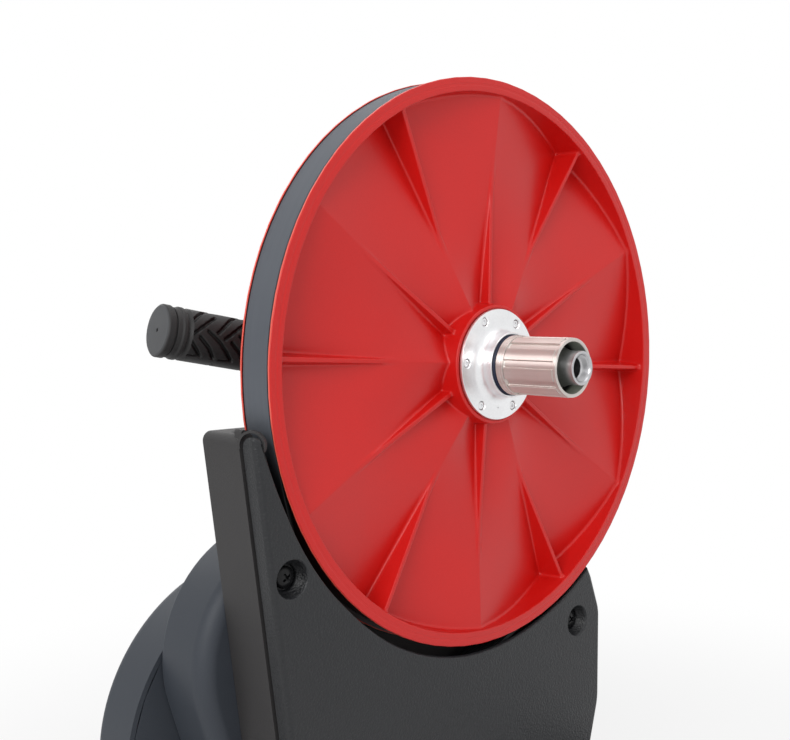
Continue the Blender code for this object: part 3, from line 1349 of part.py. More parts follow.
def rear_bar():
    """The fixed rear foot across the end of the beam."""
    centre = REAR_FOOT_X
    rows = []
    end, neck, root = REAR_BAR_END, REAR_BAR_NECK, (REAR_BAR_TOP, REAR_BAR_X / 2)
    shapes = ((-1.0, end), (-0.93, neck), (-0.25, root), (0.25, root), (0.93, neck), (1.0, end))
    for share, (top, half) in shapes:
        loop = section(0.0, half, LEG_BOTTOM, top, LEG_EDGE)
        rows.append([(centre + across, BEAM_MID_Y + share * REAR_BAR_HALF, z) for _, across, z in loop])
    made = loft("rear_foot_bar", rows, "frame_grey")
    places = []
    for side in (1, -1):
        y = BEAM_MID_Y + side * (REAR_BAR_HALF - REAR_FOOT_IN)
        cut(made, stud_hole(centre, y))
        places.append((centre, y))
    stand(smooth(made, 30), 0, 0)
    foot("rear_left_foot", *places[0])
    foot("rear_right_foot", *places[1])


def main():
    clear_scene()
    pulley_axis = joint_empty("pulley_axis", 0, 0, 0)
    freehub_axis = joint_empty("freehub_axis", 0, 0, 0)
    flywheel_axis = joint_empty("flywheel_axis", FLY_X, 0, FLY_Z)
    x, z = idler_centre()
    idler_axis = joint_empty("idler_axis", x, 0, z)

    driven_pulley(pulley_axis)
    hub_shell(pulley_axis)
    hub_bolts(pulley_axis)
    hub_seal(pulley_axis)
    race = AXLE_R + GAP
    rear_y = HUB_REAR_Y - HUB_BEARING_WIDTH - HUB_BEARING_IN
    for name, y in (("hub_bearing_drive", DRIVE_BEARING_Y), ("hub_bearing_rear", rear_y)):
        bearing(name, BEARING_OUTER_R, race, y, HUB_BEARING_WIDTH, pulley_axis)
    freehub_body(freehub_axis)
    freehub_race = FREEHUB_BORE_R - GAP
    outer_y = FREEHUB_END_Y + FREEHUB_MOUTH_DEPTH + GAP
    inner_y = FREEHUB_NECK_END_Y - FREEHUB_BEARING_WIDTH - HUB_BEARING_IN
    for name, y in (("freehub_bearing_outer", outer_y), ("freehub_bearing_inner", inner_y)):
        bearing(name, freehub_race, race, y, FREEHUB_BEARING_WIDTH, freehub_axis)
    axle_pieces()

    frame_casting()
    drive_cover()
    cover_screws()
    handle()
    brake_housing()
    power_socket()
    control_board()
    flywheel_guard()
    flywheel_cover()
    flywheel_set(flywheel_axis)
    shaft_race = SHAFT_R + GAP
    rear_y = HOUSING_END_Y - HOUSING_WALL - GAP - BEARING_WIDTH
    for name, y in (("shaft_bearing_front", FRAME_PLATE_Y + GAP), ("shaft_bearing_rear", rear_y)):
        bearing(name, SHAFT_BEARING_R, shaft_race, y, BEARING_WIDTH, None, FLY_X, FLY_Z)
    brake_stator()
    brake_coils()
    drive_belt()
    idler(idler_axis)

    base_beam()
    base_bolts()
    rear_bar()
    leg_set("left", 1)
    leg_set("right", -1)
    bpy.context.view_layer.update()


main()
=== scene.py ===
from math import acos, asin, atan2, cos, degrees, pi, radians, sin, sqrt, tan

import bmesh
import bpy
import numpy as np
from mathutils import Matrix, Vector


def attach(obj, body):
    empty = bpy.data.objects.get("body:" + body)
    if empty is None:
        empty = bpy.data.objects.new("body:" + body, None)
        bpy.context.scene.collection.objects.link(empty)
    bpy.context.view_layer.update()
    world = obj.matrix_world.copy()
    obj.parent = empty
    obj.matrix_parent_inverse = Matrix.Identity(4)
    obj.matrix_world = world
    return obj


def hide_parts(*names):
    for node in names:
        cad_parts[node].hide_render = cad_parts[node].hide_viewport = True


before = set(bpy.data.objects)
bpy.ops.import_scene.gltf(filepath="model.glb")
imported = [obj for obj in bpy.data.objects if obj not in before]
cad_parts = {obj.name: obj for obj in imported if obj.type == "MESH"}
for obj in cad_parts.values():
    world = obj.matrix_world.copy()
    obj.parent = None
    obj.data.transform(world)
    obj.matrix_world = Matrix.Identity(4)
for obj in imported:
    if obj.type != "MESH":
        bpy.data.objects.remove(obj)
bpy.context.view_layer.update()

# Places, in metres. Pieces are drawn from the axle, with y from the pulley's front rim plane.
AXLE = Vector((-0.03285, -0.0175, 0.35))
FLOOR = Vector((-0.03285, -0.0175, 0.0))
GAP = 0.0003
SLACK = 0.001
OVER = 0.005

# Driven pulley
PULLEY_R = 0.1704
LIP_IN_R = 0.1622
PULLEY_TURN = radians(-2.8)
LIP_FACE = -0.0015
PULLEY_BACK = 0.0236
LAND_R = 0.1671
FLANGE = 0.0018
REAR_FLANGE = 0.0012
WEB = 0.0028
COLLAR_R = 0.036
COLLAR_TOP = -0.0035
CREST_HALF = 0.0013
DRAFT = 0.11
WALL_DRAFT = 0.06
CREST_ROUND = 0.0006
FOOT_FILLET = 0.0016
WALL_FILLET = 0.002
PITCH = pi / 6

# Hub and freehub
FLANGE_R = 0.0335
FLANGE_FACE = -0.0054
FLANGE_BACK = -0.0038
SPIGOT_R = 0.0242
HUB_REAR = 0.027
BOSS_R = 0.0195
HUB_LIP = -0.0156
BOLT_CIRCLE_R = 0.0288
BOLT_TURN = radians(-3.0)
SEAL_R = 0.0184
SPLINE_R = 0.01725
SPLINE_ROOT_R = 0.016
SPLINES = 9
SPLINE_TURN = radians(-6.0)
SPLINE_START = -0.0225
SPLINE_EDGE_DROP = 0.000077
FREEHUB_END = -0.0603
SEAT_R = 0.0178
NECK_R = 0.015
MOUTH_R = 0.015
CAP_FACE = -0.0665
CAP_R = 0.0098
AXLE_R = 0.0085
NON_DRIVE_FACE = 0.0755

# Flywheel line, casting, cover and housing
FLY_X, FLY_Z = -0.1035, -0.2195
FRAME_FRONT, FRAME_PLATE, FRAME_BACK = 0.01, 0.0285, 0.042
REAR_TOP_X, REAR_LEAN = -0.1818, 0.1413
TUB_TOP, TUB_BOTTOM = -0.0315, -0.3
CASTING_TOP = -0.0302
TUB_WALL = 0.005
FRONT_TIP_X, FRONT_TIP_Z = 0.1036, -0.1434
FRONT_EDGE_X, FRONT_SHOULDER_Z = 0.113, -0.1725
BOSS_HALF = 0.036
BOSS_END = 0.062
BEARING_SEAT_R = 0.0175
SHAFT_HOLE_R = 0.0085
PILOT_R = 0.0023
BAR_HOLE_R = 0.0113
COVER_FACE = -0.002
COVER_ARC_R = 0.1743
HOUSING_X, HOUSING_Z = -0.112, -0.162
HOUSING_R, HOUSING_LOW_R = 0.0714, 0.062
HOUSING_END = 0.082
COVER_R = 0.1012
COVER_BACK = 0.1165
HANDLE_END = Vector((-0.194, 0.064, 0.0222))
HANDLE_AXIS = Vector((0.9757, -0.1284, -0.1773)).normalized()
GRIP_R = 0.0142
GRIP_LENGTH = 0.112
BASE_BOLT_X = (-0.09, 0.04)
SCREWS = ((-0.1568, -0.1047), (0.0858, -0.1755), (-0.124, -0.272), (0.078, -0.272))

# Base
BEAM_TOP = 0.0497
BEAM_Y = (-0.005, 0.04)
BEAM_X = (-0.184, 0.135)
PIVOT_X, PIVOT_OUT = 0.13, 0.0435
LEG_LENGTH, LEG_SPREAD = 0.27, radians(60.0)
LEG_LOW = 0.0115
BOLT_HOLE_R = 0.0043
PIN_HOLE_R = 0.0063
FOOT_OUT = 0.125
BEAM_MID = (BEAM_Y[0] + BEAM_Y[1]) / 2
BASE_BOLT_Y = BEAM_MID + 0.0085
REAR_BAR = -0.1993

scene = bpy.context.scene


# ---- finishes

class Graph:
    """Builds the nodes of a material or of the world."""

    def __init__(self, tree):
        self.nodes, self.links = tree.nodes, tree.links

    def add(self, kind, inputs, output=0, **settings):
        """A node, with its inputs from values or from other nodes' outputs; gives back one of its outputs."""
        made = self.nodes.new("ShaderNode" + kind)
        for name, value in settings.items():
            setattr(made, name, value)
        for key, value in inputs.items():
            if isinstance(value, bpy.types.NodeSocket):
                self.links.new(value, made.inputs[key])
            else:
                made.inputs[key].default_value = value
        return made.outputs[output]

    def math(self, operation, one, two=0.0):
        return self.add("Math", {0: one, 1: two}, operation=operation)

    def both(self, one, two):
        return self.math("MULTIPLY", one, two)

    def noise(self, where, scale, detail, stretch=None):
        """Noise in the piece's own coordinates, in cells per metre, stretched along an axis if asked."""
        if stretch:
            where = self.add("Mapping", {"Vector": where, "Scale": stretch}, "Vector")
        return self.add("TexNoise", {"Vector": where, "Scale": scale, "Detail": detail}, "Fac")

    def between(self, factor, low, high):
        """Spreads the middle half of a noise from low to high."""
        spread = {"Value": factor, "From Min": 0.25, "From Max": 0.75, "To Min": low, "To Max": high}
        return self.add("MapRange", spread, "Result")

    def ramp(self, value, start, end):
        """Rises from 0 at start to 1 at end, or falls if end is the lower."""
        return self.add("MapRange", {"Value": value, "From Min": start, "From Max": end}, "Result",
                        interpolation_type="SMOOTHSTEP")

    def mix(self, share, under, over):
        """Lays one colour over another, by a share."""
        colours = [c if isinstance(c, bpy.types.NodeSocket) else (*c, 1.0) for c in (under, over)]
        return self.add("Mix", {0: share, 6: colours[0], 7: colours[1]}, 2, data_type="RGBA")

    def polar(self, place, centres=((0.0, 0.0),)):
        """How far a place is from the nearest of some lines along Y, and its depth behind the rim's plane."""
        parts = self.nodes.new("ShaderNodeSeparateXYZ")
        self.links.new(place, parts.inputs[0])
        x, y, z = parts.outputs
        nearest = None
        for across, up in centres:
            along_x = self.math("SUBTRACT", x, AXLE.x + across)
            along_z = self.math("SUBTRACT", z, AXLE.z + up)
            square = self.math("ADD", self.both(along_x, along_x), self.both(along_z, along_z))
            nearest = square if nearest is None else self.math("MINIMUM", nearest, square)
        return self.math("SQRT", nearest), self.math("SUBTRACT", y, AXLE.y)

    def backdrop_rays(self):
        """Is 1 for the rays that show the backdrop itself: the camera's, mirrored ones and refracted ones."""
        path = self.nodes.new("ShaderNodeLightPath")
        found = path.outputs["Is Camera Ray"]
        for ray in ("Is Glossy Ray", "Is Transmission Ray"):
            found = self.math("MAXIMUM", found, path.outputs[ray])
        return found


def new_material(name):
    made = bpy.data.materials.new(name)
    made.use_nodes = True
    return made, Graph(made.node_tree), made.node_tree.nodes["Principled BSDF"].inputs


def look(dark, light, rough, patch, grain, height, metal=0.0, specular=0.5, coat=0.0, stretch=None,
         brushed=0.0):
    """Two colours that mix, a roughness range, cells of patches and grain per metre, the grain's height."""
    return dark, light, rough, patch, grain, height, metal, specular, coat, stretch, brushed


FINISHES = {
    "red_casting": look((0.53, 0.0036, 0.0028), (0.625, 0.0072, 0.0046), (0.34, 0.44),
        14, 1500, 0.00004, specular=0.46, coat=0.06),
    "machined_silver": look((0.78, 0.782, 0.795), (0.9, 0.904, 0.912), (0.3, 0.4),
        60, 900, 0.00001, metal=1.0, brushed=0.6),
    "freehub_nickel": look((0.66, 0.61, 0.575), (0.76, 0.71, 0.675), (0.4, 0.44),
        60, 700, 0.00001, metal=1.0, stretch=(1, 0.05, 1), brushed=1.0),
    "steel": look((0.44, 0.44, 0.452), (0.56, 0.56, 0.57), (0.24, 0.36),
        60, 900, 0.00001, metal=1.0, brushed=0.5),
    "dark_steel": look((0.1, 0.1, 0.108), (0.15, 0.15, 0.158), (0.32, 0.45), 40, 700, 0.00002, metal=1.0),
    "navy_seal": look((0.008, 0.014, 0.036), (0.014, 0.024, 0.054), (0.38, 0.5),
        80, 1200, 0.00001, specular=0.4),
    "belt_rubber": look((0.08, 0.089, 0.106), (0.126, 0.137, 0.156), (0.5, 0.62),
        18, 420, 0.00003, specular=0.25, stretch=(0.06, 14, 0.06)),
    "frame_grey": look((0.029, 0.0275, 0.028), (0.038, 0.0362, 0.0368), (0.52, 0.64),
        12, 1300, 0.00012, specular=0.35),
    "cover_plastic": look((0.01, 0.0108, 0.0125), (0.0165, 0.0175, 0.0198), (0.38, 0.5),
        16, 850, 0.00048, specular=0.4),
    "housing_plastic": look((0.035, 0.041, 0.052), (0.046, 0.053, 0.065), (0.5, 0.6),
        12, 1500, 0.00006, specular=0.35),
    "grip_rubber": look((0.013, 0.0122, 0.0125), (0.022, 0.0208, 0.0212), (0.5, 0.64),
        40, 1600, 0.00008, specular=0.35),
    "black_screw": look((0.003, 0.003, 0.0035), (0.007, 0.007, 0.008), (0.22, 0.3),
        90, 1400, 0.00002, specular=0.25),
    "copper": look((0.48, 0.17, 0.07), (0.62, 0.26, 0.12), (0.28, 0.42),
        50, 500, 0.0001, metal=1.0, stretch=(1, 8, 1)),
    "board_green": look((0.012, 0.11, 0.045), (0.024, 0.16, 0.075), (0.35, 0.55),
        130, 900, 0.00005, coat=0.2),
    "foot_rubber": look((0.014, 0.014, 0.015), (0.024, 0.024, 0.025), (0.7, 0.85),
        60, 1500, 0.0001, specular=0.3),
}

# A painted highlight on the edges of the pulley's two flanges.
EDGE_PAINTED_HIGHLIGHT = (0.9, 0.13, 0.09)
# Painted shade on the pulley's belt land, in the gap by the cover.
LAND_PAINTED_SHADE = (0.02, 0.004, 0.004)
# Painted shadow on the belt, below the hood.
BELT_PAINTED_SHADOW = (0.005, 0.0055, 0.006)
# Painted shade inside the freehub's mouth: lighter on its wall, darkest at its floor.
MOUTH_WALL_PAINTED_SHADE = (0.3, 0.32, 0.27)
MOUTH_FLOOR_PAINTED_SHADE = (0.03, 0.03, 0.03)
# Painted shade inside the cover's screw wells.
WELL_PAINTED_SHADE = (0.0045, 0.0048, 0.006)
# Painted shade in the grip's grooves.
GROOVE_PAINTED_SHADE = (0.002, 0.0018, 0.0018)
# A painted sheen on the grip's end face.
END_PAINTED_SHEEN = (0.062, 0.064, 0.068)


def rim_painted_light(graph, place, colour):
    """Painted shade on the pulley's belt land, and a painted highlight on the edges of its two flanges."""
    radius, depth = graph.polar(place)
    behind = PULLEY_BACK - REAR_FLANGE
    outer = graph.ramp(radius, PULLEY_R - 0.0007, PULLEY_R - 0.0003)
    front = graph.both(graph.ramp(depth, LIP_FACE + 0.0003, LIP_FACE + 0.0008),
                       graph.ramp(depth, LIP_FACE + 0.0026, LIP_FACE + 0.0022))
    rear = graph.ramp(depth, behind - 0.0002, behind + 0.0002)
    colour = graph.mix(graph.both(outer, graph.math("MAXIMUM", front, rear)), colour, EDGE_PAINTED_HIGHLIGHT)
    land = graph.both(graph.ramp(radius, PULLEY_R - 0.0003, PULLEY_R - 0.0009),
                      graph.ramp(radius, LIP_IN_R + 0.0016, LIP_IN_R + 0.0022))
    land = graph.both(land, graph.ramp(depth, LIP_FACE + FLANGE - 0.0003, LIP_FACE + FLANGE))
    return graph.mix(land, colour, LAND_PAINTED_SHADE)


def mouth_painted_shade(graph, place, colour):
    """Painted shade inside the freehub's mouth, on its wall and darkest at its floor."""
    radius, depth = graph.polar(place)
    inside = graph.ramp(radius, MOUTH_R + 0.0004, MOUTH_R + 0.0002)
    for colour_in, start, end in ((MOUTH_WALL_PAINTED_SHADE, 0.0003, 0.0008), (MOUTH_FLOOR_PAINTED_SHADE, 0.007, 0.011)):
        share = graph.both(inside, graph.ramp(depth, FREEHUB_END + start, FREEHUB_END + end))
        colour = graph.mix(share, colour, colour_in)
    return colour


def bowl_painted_shade(graph, place, colour):
    """Painted shade darkens the inside of the cover's screw wells."""
    radius, depth = graph.polar(place, SCREWS)
    inside = graph.both(graph.ramp(radius, 0.011, 0.0096),
                        graph.ramp(depth, COVER_FACE + 0.0003, COVER_FACE + 0.0022))
    return graph.mix(inside, colour, WELL_PAINTED_SHADE)


def belt_painted_shadow(graph, place, colour):
    """Painted shadow darkens the belt downwards from just below the axle's height, where it runs into the
    casting.
    """
    height = graph.add("SeparateXYZ", {0: place}, "Z")
    return graph.mix(graph.ramp(height, AXLE.z - 0.015, AXLE.z - 0.06), colour, BELT_PAINTED_SHADOW)


def tread_painted_light(graph, place, colour):
    """Painted shade darkens the grip's grooves and a painted sheen lightens its end face."""
    shade_and_sheen = graph.add("Attribute", {}, "Fac", attribute_name="shade_and_sheen")
    colour = graph.mix(graph.ramp(shade_and_sheen, 0.0, -1.0), colour, GROOVE_PAINTED_SHADE)
    return graph.mix(graph.ramp(shade_and_sheen, 0.0, 1.0), colour, END_PAINTED_SHEEN)


def finish_for(slot, tint=None):
    name = "finish_" + slot + ("_" + tint.__name__ if tint else "")
    found = bpy.data.materials.get(name)
    if found:
        return found
    dark, light, rough, patch, grain, height, metal, specular, coat, stretch, brushed = FINISHES[slot]
    made, graph, shader = new_material(name)
    place = graph.add("TexCoord", {}, "Object")
    cloud = graph.noise(place, patch, 4.0)
    fine = graph.noise(place, grain, 2.0, stretch)
    mixed = graph.math("ADD", graph.both(fine, 0.45), graph.both(cloud, 0.55))
    colour = graph.mix(graph.between(mixed, 0.0, 1.0), dark, light)
    if tint:
        colour = tint(graph, place, colour)
    bump = graph.add("Bump", {"Strength": 1.0, "Distance": height, "Height": fine}, "Normal")
    graph.links.new(colour, shader["Base Color"])
    graph.links.new(graph.between(cloud, *rough), shader["Roughness"])
    graph.links.new(bump, shader["Normal"])
    shader["Metallic"].default_value = metal
    shader["Specular IOR Level"].default_value = specular
    if coat:
        shader["Coat Weight"].default_value = coat
        shader["Coat Roughness"].default_value = 0.16
    if brushed:
        shader["Anisotropic"].default_value = brushed
        shader["Anisotropic Rotation"].default_value = 0.25
        around = graph.add("Tangent", {}, "Tangent", direction_type="RADIAL", axis="Y")
        graph.links.new(around, shader["Tangent"])
    return made


# ---- mesh tools

def raw(name, bm):
    bmesh.ops.recalc_face_normals(bm, faces=bm.faces)
    mesh = bpy.data.meshes.new(name)
    bm.to_mesh(mesh)
    bm.free()
    made = bpy.data.objects.new(name, mesh)
    scene.collection.objects.link(made)
    return made


def skin(name, loops, ring=False):
    """Skins loops of equal length. A ring joins the last loop to the first; else ends are capped."""
    bm = bmesh.new()
    rows = [[bm.verts.new(point) for point in loop] for loop in loops]
    pairs = list(zip(rows, rows[1:]))
    if ring:
        pairs.append((rows[-1], rows[0]))
    else:
        bm.faces.new(rows[0])
        bm.faces.new(list(reversed(rows[-1])))
    for one, two in pairs:
        for i in range(len(one)):
            j = (i + 1) % len(one)
            bm.faces.new((one[i], one[j], two[j], two[i]))
    return raw(name, bm)


def circle(radius, y, steps, x=0.0, z=0.0):
    turn = 2 * pi / steps
    return [(x + radius * cos(i * turn), y, z + radius * sin(i * turn)) for i in range(steps)]


def lathe(name, profile, steps, ring=True, x=0.0, z=0.0):
    """A turned piece about the Y axis from (radius, y) pairs."""
    return skin(name, [circle(r, y, steps, x, z) for r, y in profile], ring)


def upright(name, profile, steps):
    """A turned piece about the Z axis from (radius, z) pairs."""
    turn = 2 * pi / steps
    loops = [[(r * cos(i * turn), r * sin(i * turn), z) for i in range(steps)] for r, z in profile]
    return skin(name, loops)


def soften(profile, radius, steps=4, ring=True):
    """Rounds the corners of a profile; radius is one value or one for each corner."""
    points = []
    count = len(profile)
    for i, point in enumerate(profile):
        r = radius[i] if isinstance(radius, (list, tuple)) else radius
        if r <= 0 or (not ring and i in (0, count - 1)):
            points.append(point)
            continue
        here = Vector(point)
        back, ahead = Vector(profile[i - 1]) - here, Vector(profile[(i + 1) % count]) - here
        bend = back.angle(ahead)
        if bend > radians(175):
            points.append(point)
            continue
        reach = min(r / tan(bend / 2), back.length * 0.48, ahead.length * 0.48)
        start, end = here + back.normalized() * reach, here + ahead.normalized() * reach
        for k in range(steps + 1):
            t = k / steps
            a, b = start.lerp(here, t), here.lerp(end, t)
            spot = a.lerp(b, t)
            points.append((spot.x, spot.y))
    return points


def arc_points(start, corner, end, radius, steps):
    a = (Vector(start) - Vector(corner)).normalized()
    b = (Vector(end) - Vector(corner)).normalized()
    half = a.angle(b) / 2
    reach = radius / tan(half)
    centre = Vector(corner) + (a + b).normalized() * (radius / sin(half))
    first = Vector(corner) + a * reach - centre
    last = Vector(corner) + b * reach - centre
    sweep = first.angle_signed(last)
    points = []
    for i in range(steps + 1):
        turn = -sweep * i / steps
        c, s = cos(turn), sin(turn)
        points.append((centre.x + first.x * c - first.y * s, centre.y + first.x * s + first.y * c))
    return points


def rounded(corners, steps=12):
    """An outline from (x, z, radius) corners."""
    outline = []
    for i, (x, z, radius) in enumerate(corners):
        if radius <= 0:
            outline.append((x, z))
            continue
        outline += arc_points(corners[i - 1][:2], (x, z), corners[(i + 1) % len(corners)][:2], radius, steps)
    return outline


def plate(name, outline, y0, y1):
    return skin(name, [[(x, y, z) for x, z in outline] for y in (y0, y1)])


def slab(name, outline, z0, z1):
    return skin(name, [[(x, y, z) for x, y in outline] for z in (z0, z1)])


def drill(radius, y0, y1, x=0.0, z=0.0, steps=48):
    return skin("drill", [circle(radius, y, steps, x, z) for y in (y0, y1)])


def rod(name, start, end, radius, steps=48):
    start, end = Vector(start), Vector(end)
    made = upright(name, [(radius, 0.0), (radius, (end - start).length)], steps)
    turn = Vector((0, 0, 1)).rotation_difference(end - start)
    made.data.transform(Matrix.Translation(start) @ turn.to_matrix().to_4x4())
    return made


def boolean(target, tool, operation):
    change = target.modifiers.new(operation, "BOOLEAN")
    change.operation = operation
    change.solver = "EXACT"
    change.object = tool
    bpy.context.view_layer.update()
    seen = target.evaluated_get(bpy.context.evaluated_depsgraph_get())
    mesh = bpy.data.meshes.new_from_object(seen)
    target.modifiers.clear()
    target.data = mesh
    bpy.data.objects.remove(tool, do_unlink=True)


def cut(target, *tools):
    for tool in tools:
        boolean(target, tool, "DIFFERENCE")


def join(target, *tools):
    for tool in tools:
        boolean(target, tool, "UNION")


def shade(made, sharp):
    bm = bmesh.new()
    bm.from_mesh(made.data)
    for face in bm.faces:
        face.smooth = True
        face.material_index = 0
    limit = radians(sharp)
    for edge in bm.edges:
        edge.smooth = edge.calc_face_angle(0.0) < limit
    bm.to_mesh(made.data)
    bm.free()


def dress(made, slot, body, nodes, origin=AXLE, sharp=35, edge=0.0, tint=None):
    """Gives a piece its finish and soft edges, and lets it stand for the CAD nodes it replaces."""
    made.data.transform(Matrix.Translation(origin))
    made.data.materials.clear()
    made.data.materials.append(finish_for(slot, tint))
    shade(made, sharp)
    if edge:
        bevel = made.modifiers.new("soft_edges", "BEVEL")
        bevel.width = edge
        bevel.segments = 3
        bevel.limit_method = "ANGLE"
        bevel.angle_limit = radians(28)
        bevel.miter_outer = "MITER_ARC"
    weigh = made.modifiers.new("even_faces", "WEIGHTED_NORMAL")
    weigh.keep_sharp = True
    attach(made, body)
    if nodes:
        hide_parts(*([nodes] if isinstance(nodes, str) else nodes))


# ---- driven pulley

def web_depth(radius, share):
    """Depth of the folded web: share is 0 on a fin's line and 1 on a hub rib's line."""
    t = (radius - COLLAR_R) / (LIP_IN_R - COLLAR_R)
    return (0.002 + 0.0175 * t) * (1 - share) + (0.012 - 0.0105 * t) * share


def crest_depth(radius, is_fin):
    """Depth of a fin's crest, which falls towards the hub, or a hub rib's, which falls outwards."""
    if is_fin:
        foot = web_depth(0.078, 0)
        return 0.002 + (foot - 0.002) * (LIP_IN_R - radius) / (LIP_IN_R - 0.078)
    foot = web_depth(0.112, 1)
    return 0.0035 + (foot - 0.0035) * (radius - COLLAR_R) / (0.112 - COLLAR_R)


def rounded_both(a, b, radius):
    """Where two solids meet in a convex edge: the distance to it, rounded."""
    u, v = np.maximum(a + radius, 0), np.maximum(b + radius, 0)
    return np.minimum(np.maximum(a, b), -radius) + np.hypot(u, v)


def filleted(a, b, radius):
    """The distance to two joined solids, with a fillet where they meet."""
    u, v = np.maximum(radius - a, 0), np.maximum(radius - b, 0)
    return np.maximum(radius, np.minimum(a, b)) - np.hypot(u, v)


def pulley_distance(radius, angle, y):
    """Signed distance to the pulley's front: folded web, fins, hub ribs, collar and rim."""
    slot = np.round(angle / PITCH)
    off = angle - slot * PITCH
    fin = (slot.astype(int) % 2) == 0
    share = np.abs(off) / PITCH
    share = np.where(fin, share, 1 - share)
    solid = (web_depth(radius, share) - y) * 0.985
    crest = np.where(fin, crest_depth(radius, True), crest_depth(radius, False))
    side = (radius * np.abs(np.sin(off)) - CREST_HALF - DRAFT * (y - crest)) * 0.994
    rib = rounded_both(side, crest - y, CREST_ROUND)
    solid = filleted(solid, rib, FOOT_FILLET)
    wall = rounded_both((LIP_IN_R - WALL_DRAFT * y - radius) * 0.998, LIP_FACE - y, 0.0006)
    solid = filleted(solid, wall, WALL_FILLET)
    collar = rounded_both((radius - COLLAR_R - WALL_DRAFT * (y - COLLAR_TOP)) * 0.998, COLLAR_TOP - y, 0.0009)
    return filleted(solid, collar, WALL_FILLET * 0.7)


def rib_offsets(height):
    """Places across one side of a rib, closer together on its edge and its foot."""
    foot = CREST_HALF + DRAFT * height
    across = [0.0, CREST_HALF * 0.5]
    across += [CREST_HALF + d for d in (-0.0004, -0.00015, 0.0, 0.0001)]
    across += [CREST_HALF + (foot - CREST_HALF) * t + 0.0001 + 0.00002 * t for t in (0.3, 0.65, 0.9)]
    return across + [foot + d for d in (0.0003, 0.0006, 0.001, 0.0015, 0.0021)]


def ring_angles(radius):
    """The same number of angles at every radius, gathered about the twelve ribs."""
    sides = []
    for is_fin in (True, False):
        height = web_depth(radius, 0 if is_fin else 1) - crest_depth(radius, is_fin)
        sides.append([d / radius for d in rib_offsets(max(height, 0.0))])
    angles = []
    for rib in range(12):
        here, there = sides[rib % 2], sides[(rib + 1) % 2]
        line = rib * PITCH
        angles += [line - a for a in reversed(here[1:])] + [line + a for a in here]
        start, end = here[-1], PITCH - there[-1]
        angles += [line + start + (end - start) * i / 6 for i in range(1, 6)]
    return np.array(angles)


def pulley():
    at_collar = (-12, -9, -6, -4, -2, -1, 0, 1, 2.5, 4, 6, 8, 10, 13, 17, 22, 30)
    at_rim = (-42, -34, -28, -23, -19, -16, -13, -10, -8, -6, -4, -2, 0, 1, 2, 4, 7)
    first, last = COLLAR_R + 0.005, LIP_IN_R - 0.006
    radii = [COLLAR_R + 0.0001 * d for d in at_collar]
    radii += [first + (last - first) * i / 34 for i in range(35)]
    radii += [LIP_IN_R + 0.0001 * d for d in at_rim]
    loops, field = [], []
    for radius in radii:
        angles = ring_angles(min(max(radius, COLLAR_R), LIP_IN_R))
        low, high = np.full(angles.shape, COLLAR_TOP - 0.001), np.full(angles.shape, 0.0215)
        for _ in range(26):
            middle = (low + high) / 2
            inside = pulley_distance(np.full(angles.shape, radius), angles, middle) < 0
            high, low = np.where(inside, middle, high), np.where(inside, low, middle)
        field.append((radius, angles, high))

    def loop(radius, angles, y):
        turn = angles + PULLEY_TURN
        depth = np.broadcast_to(y, angles.shape)
        return [(radius * cos(a), float(d), radius * sin(a)) for a, d in zip(turn, depth)]

    inner, outer = field[0][1], field[-1][1]
    face, back = LIP_FACE, PULLEY_BACK
    rim = soften([
        (0.1634, face), (0.1653, face), (0.1656, face + 0.00012), (0.1668, face + 0.00012), (0.1671, face),
        (PULLEY_R, face), (PULLEY_R, face + FLANGE), (LAND_R, face + FLANGE), (LAND_R, back - REAR_FLANGE),
        (PULLEY_R, back - REAR_FLANGE), (PULLEY_R, back), (LIP_IN_R, back),
    ], [0, 0.0001, 0.0001, 0.0001, 0.0001, 0.001, 0.0004, 0, 0, 0.0003, 0.0006, 0.0006], 4, False)
    loops += [loop(r, outer, y) for r, y in rim]
    for radius in (LIP_IN_R - 0.0012, 0.15, 0.13, 0.11, 0.09, 0.07, 0.052, COLLAR_R + 0.002):
        angles = ring_angles(radius)
        near = np.abs(((angles + PITCH) % (2 * PITCH)) - PITCH) / PITCH
        depth = np.minimum(web_depth(radius, near) + WEB, PULLEY_BACK - GAP)
        loops.append(loop(radius, angles, depth))
    bore, seat = SPIGOT_R + GAP, FLANGE_R + 0.0008
    hub = soften([
        (COLLAR_R, back - 0.001), (bore, back - 0.001), (bore, FLANGE_BACK + 0.001), (bore, -0.003),
        (seat, -0.003), (seat, COLLAR_TOP),
    ], [0.001, 0.0005, 0, 0, 0, 0.0002], 3, False)
    loops += [loop(r, inner, y) for r, y in hub]
    loops += [loop(*row) for row in field]
    made = skin("pulley_casting", loops, ring=True)
    # The pulley's finish carries a painted highlight on its flange edges and painted shade on its belt land.
    dress(made, "red_casting", "pulley", "driven_pulley", sharp=60, tint=rim_painted_light)


# ---- hub, freehub, axle

def bolt_places():
    angles = [BOLT_TURN + i * pi / 3 for i in range(6)]
    return [(BOLT_CIRCLE_R * cos(a), BOLT_CIRCLE_R * sin(a)) for a in angles]


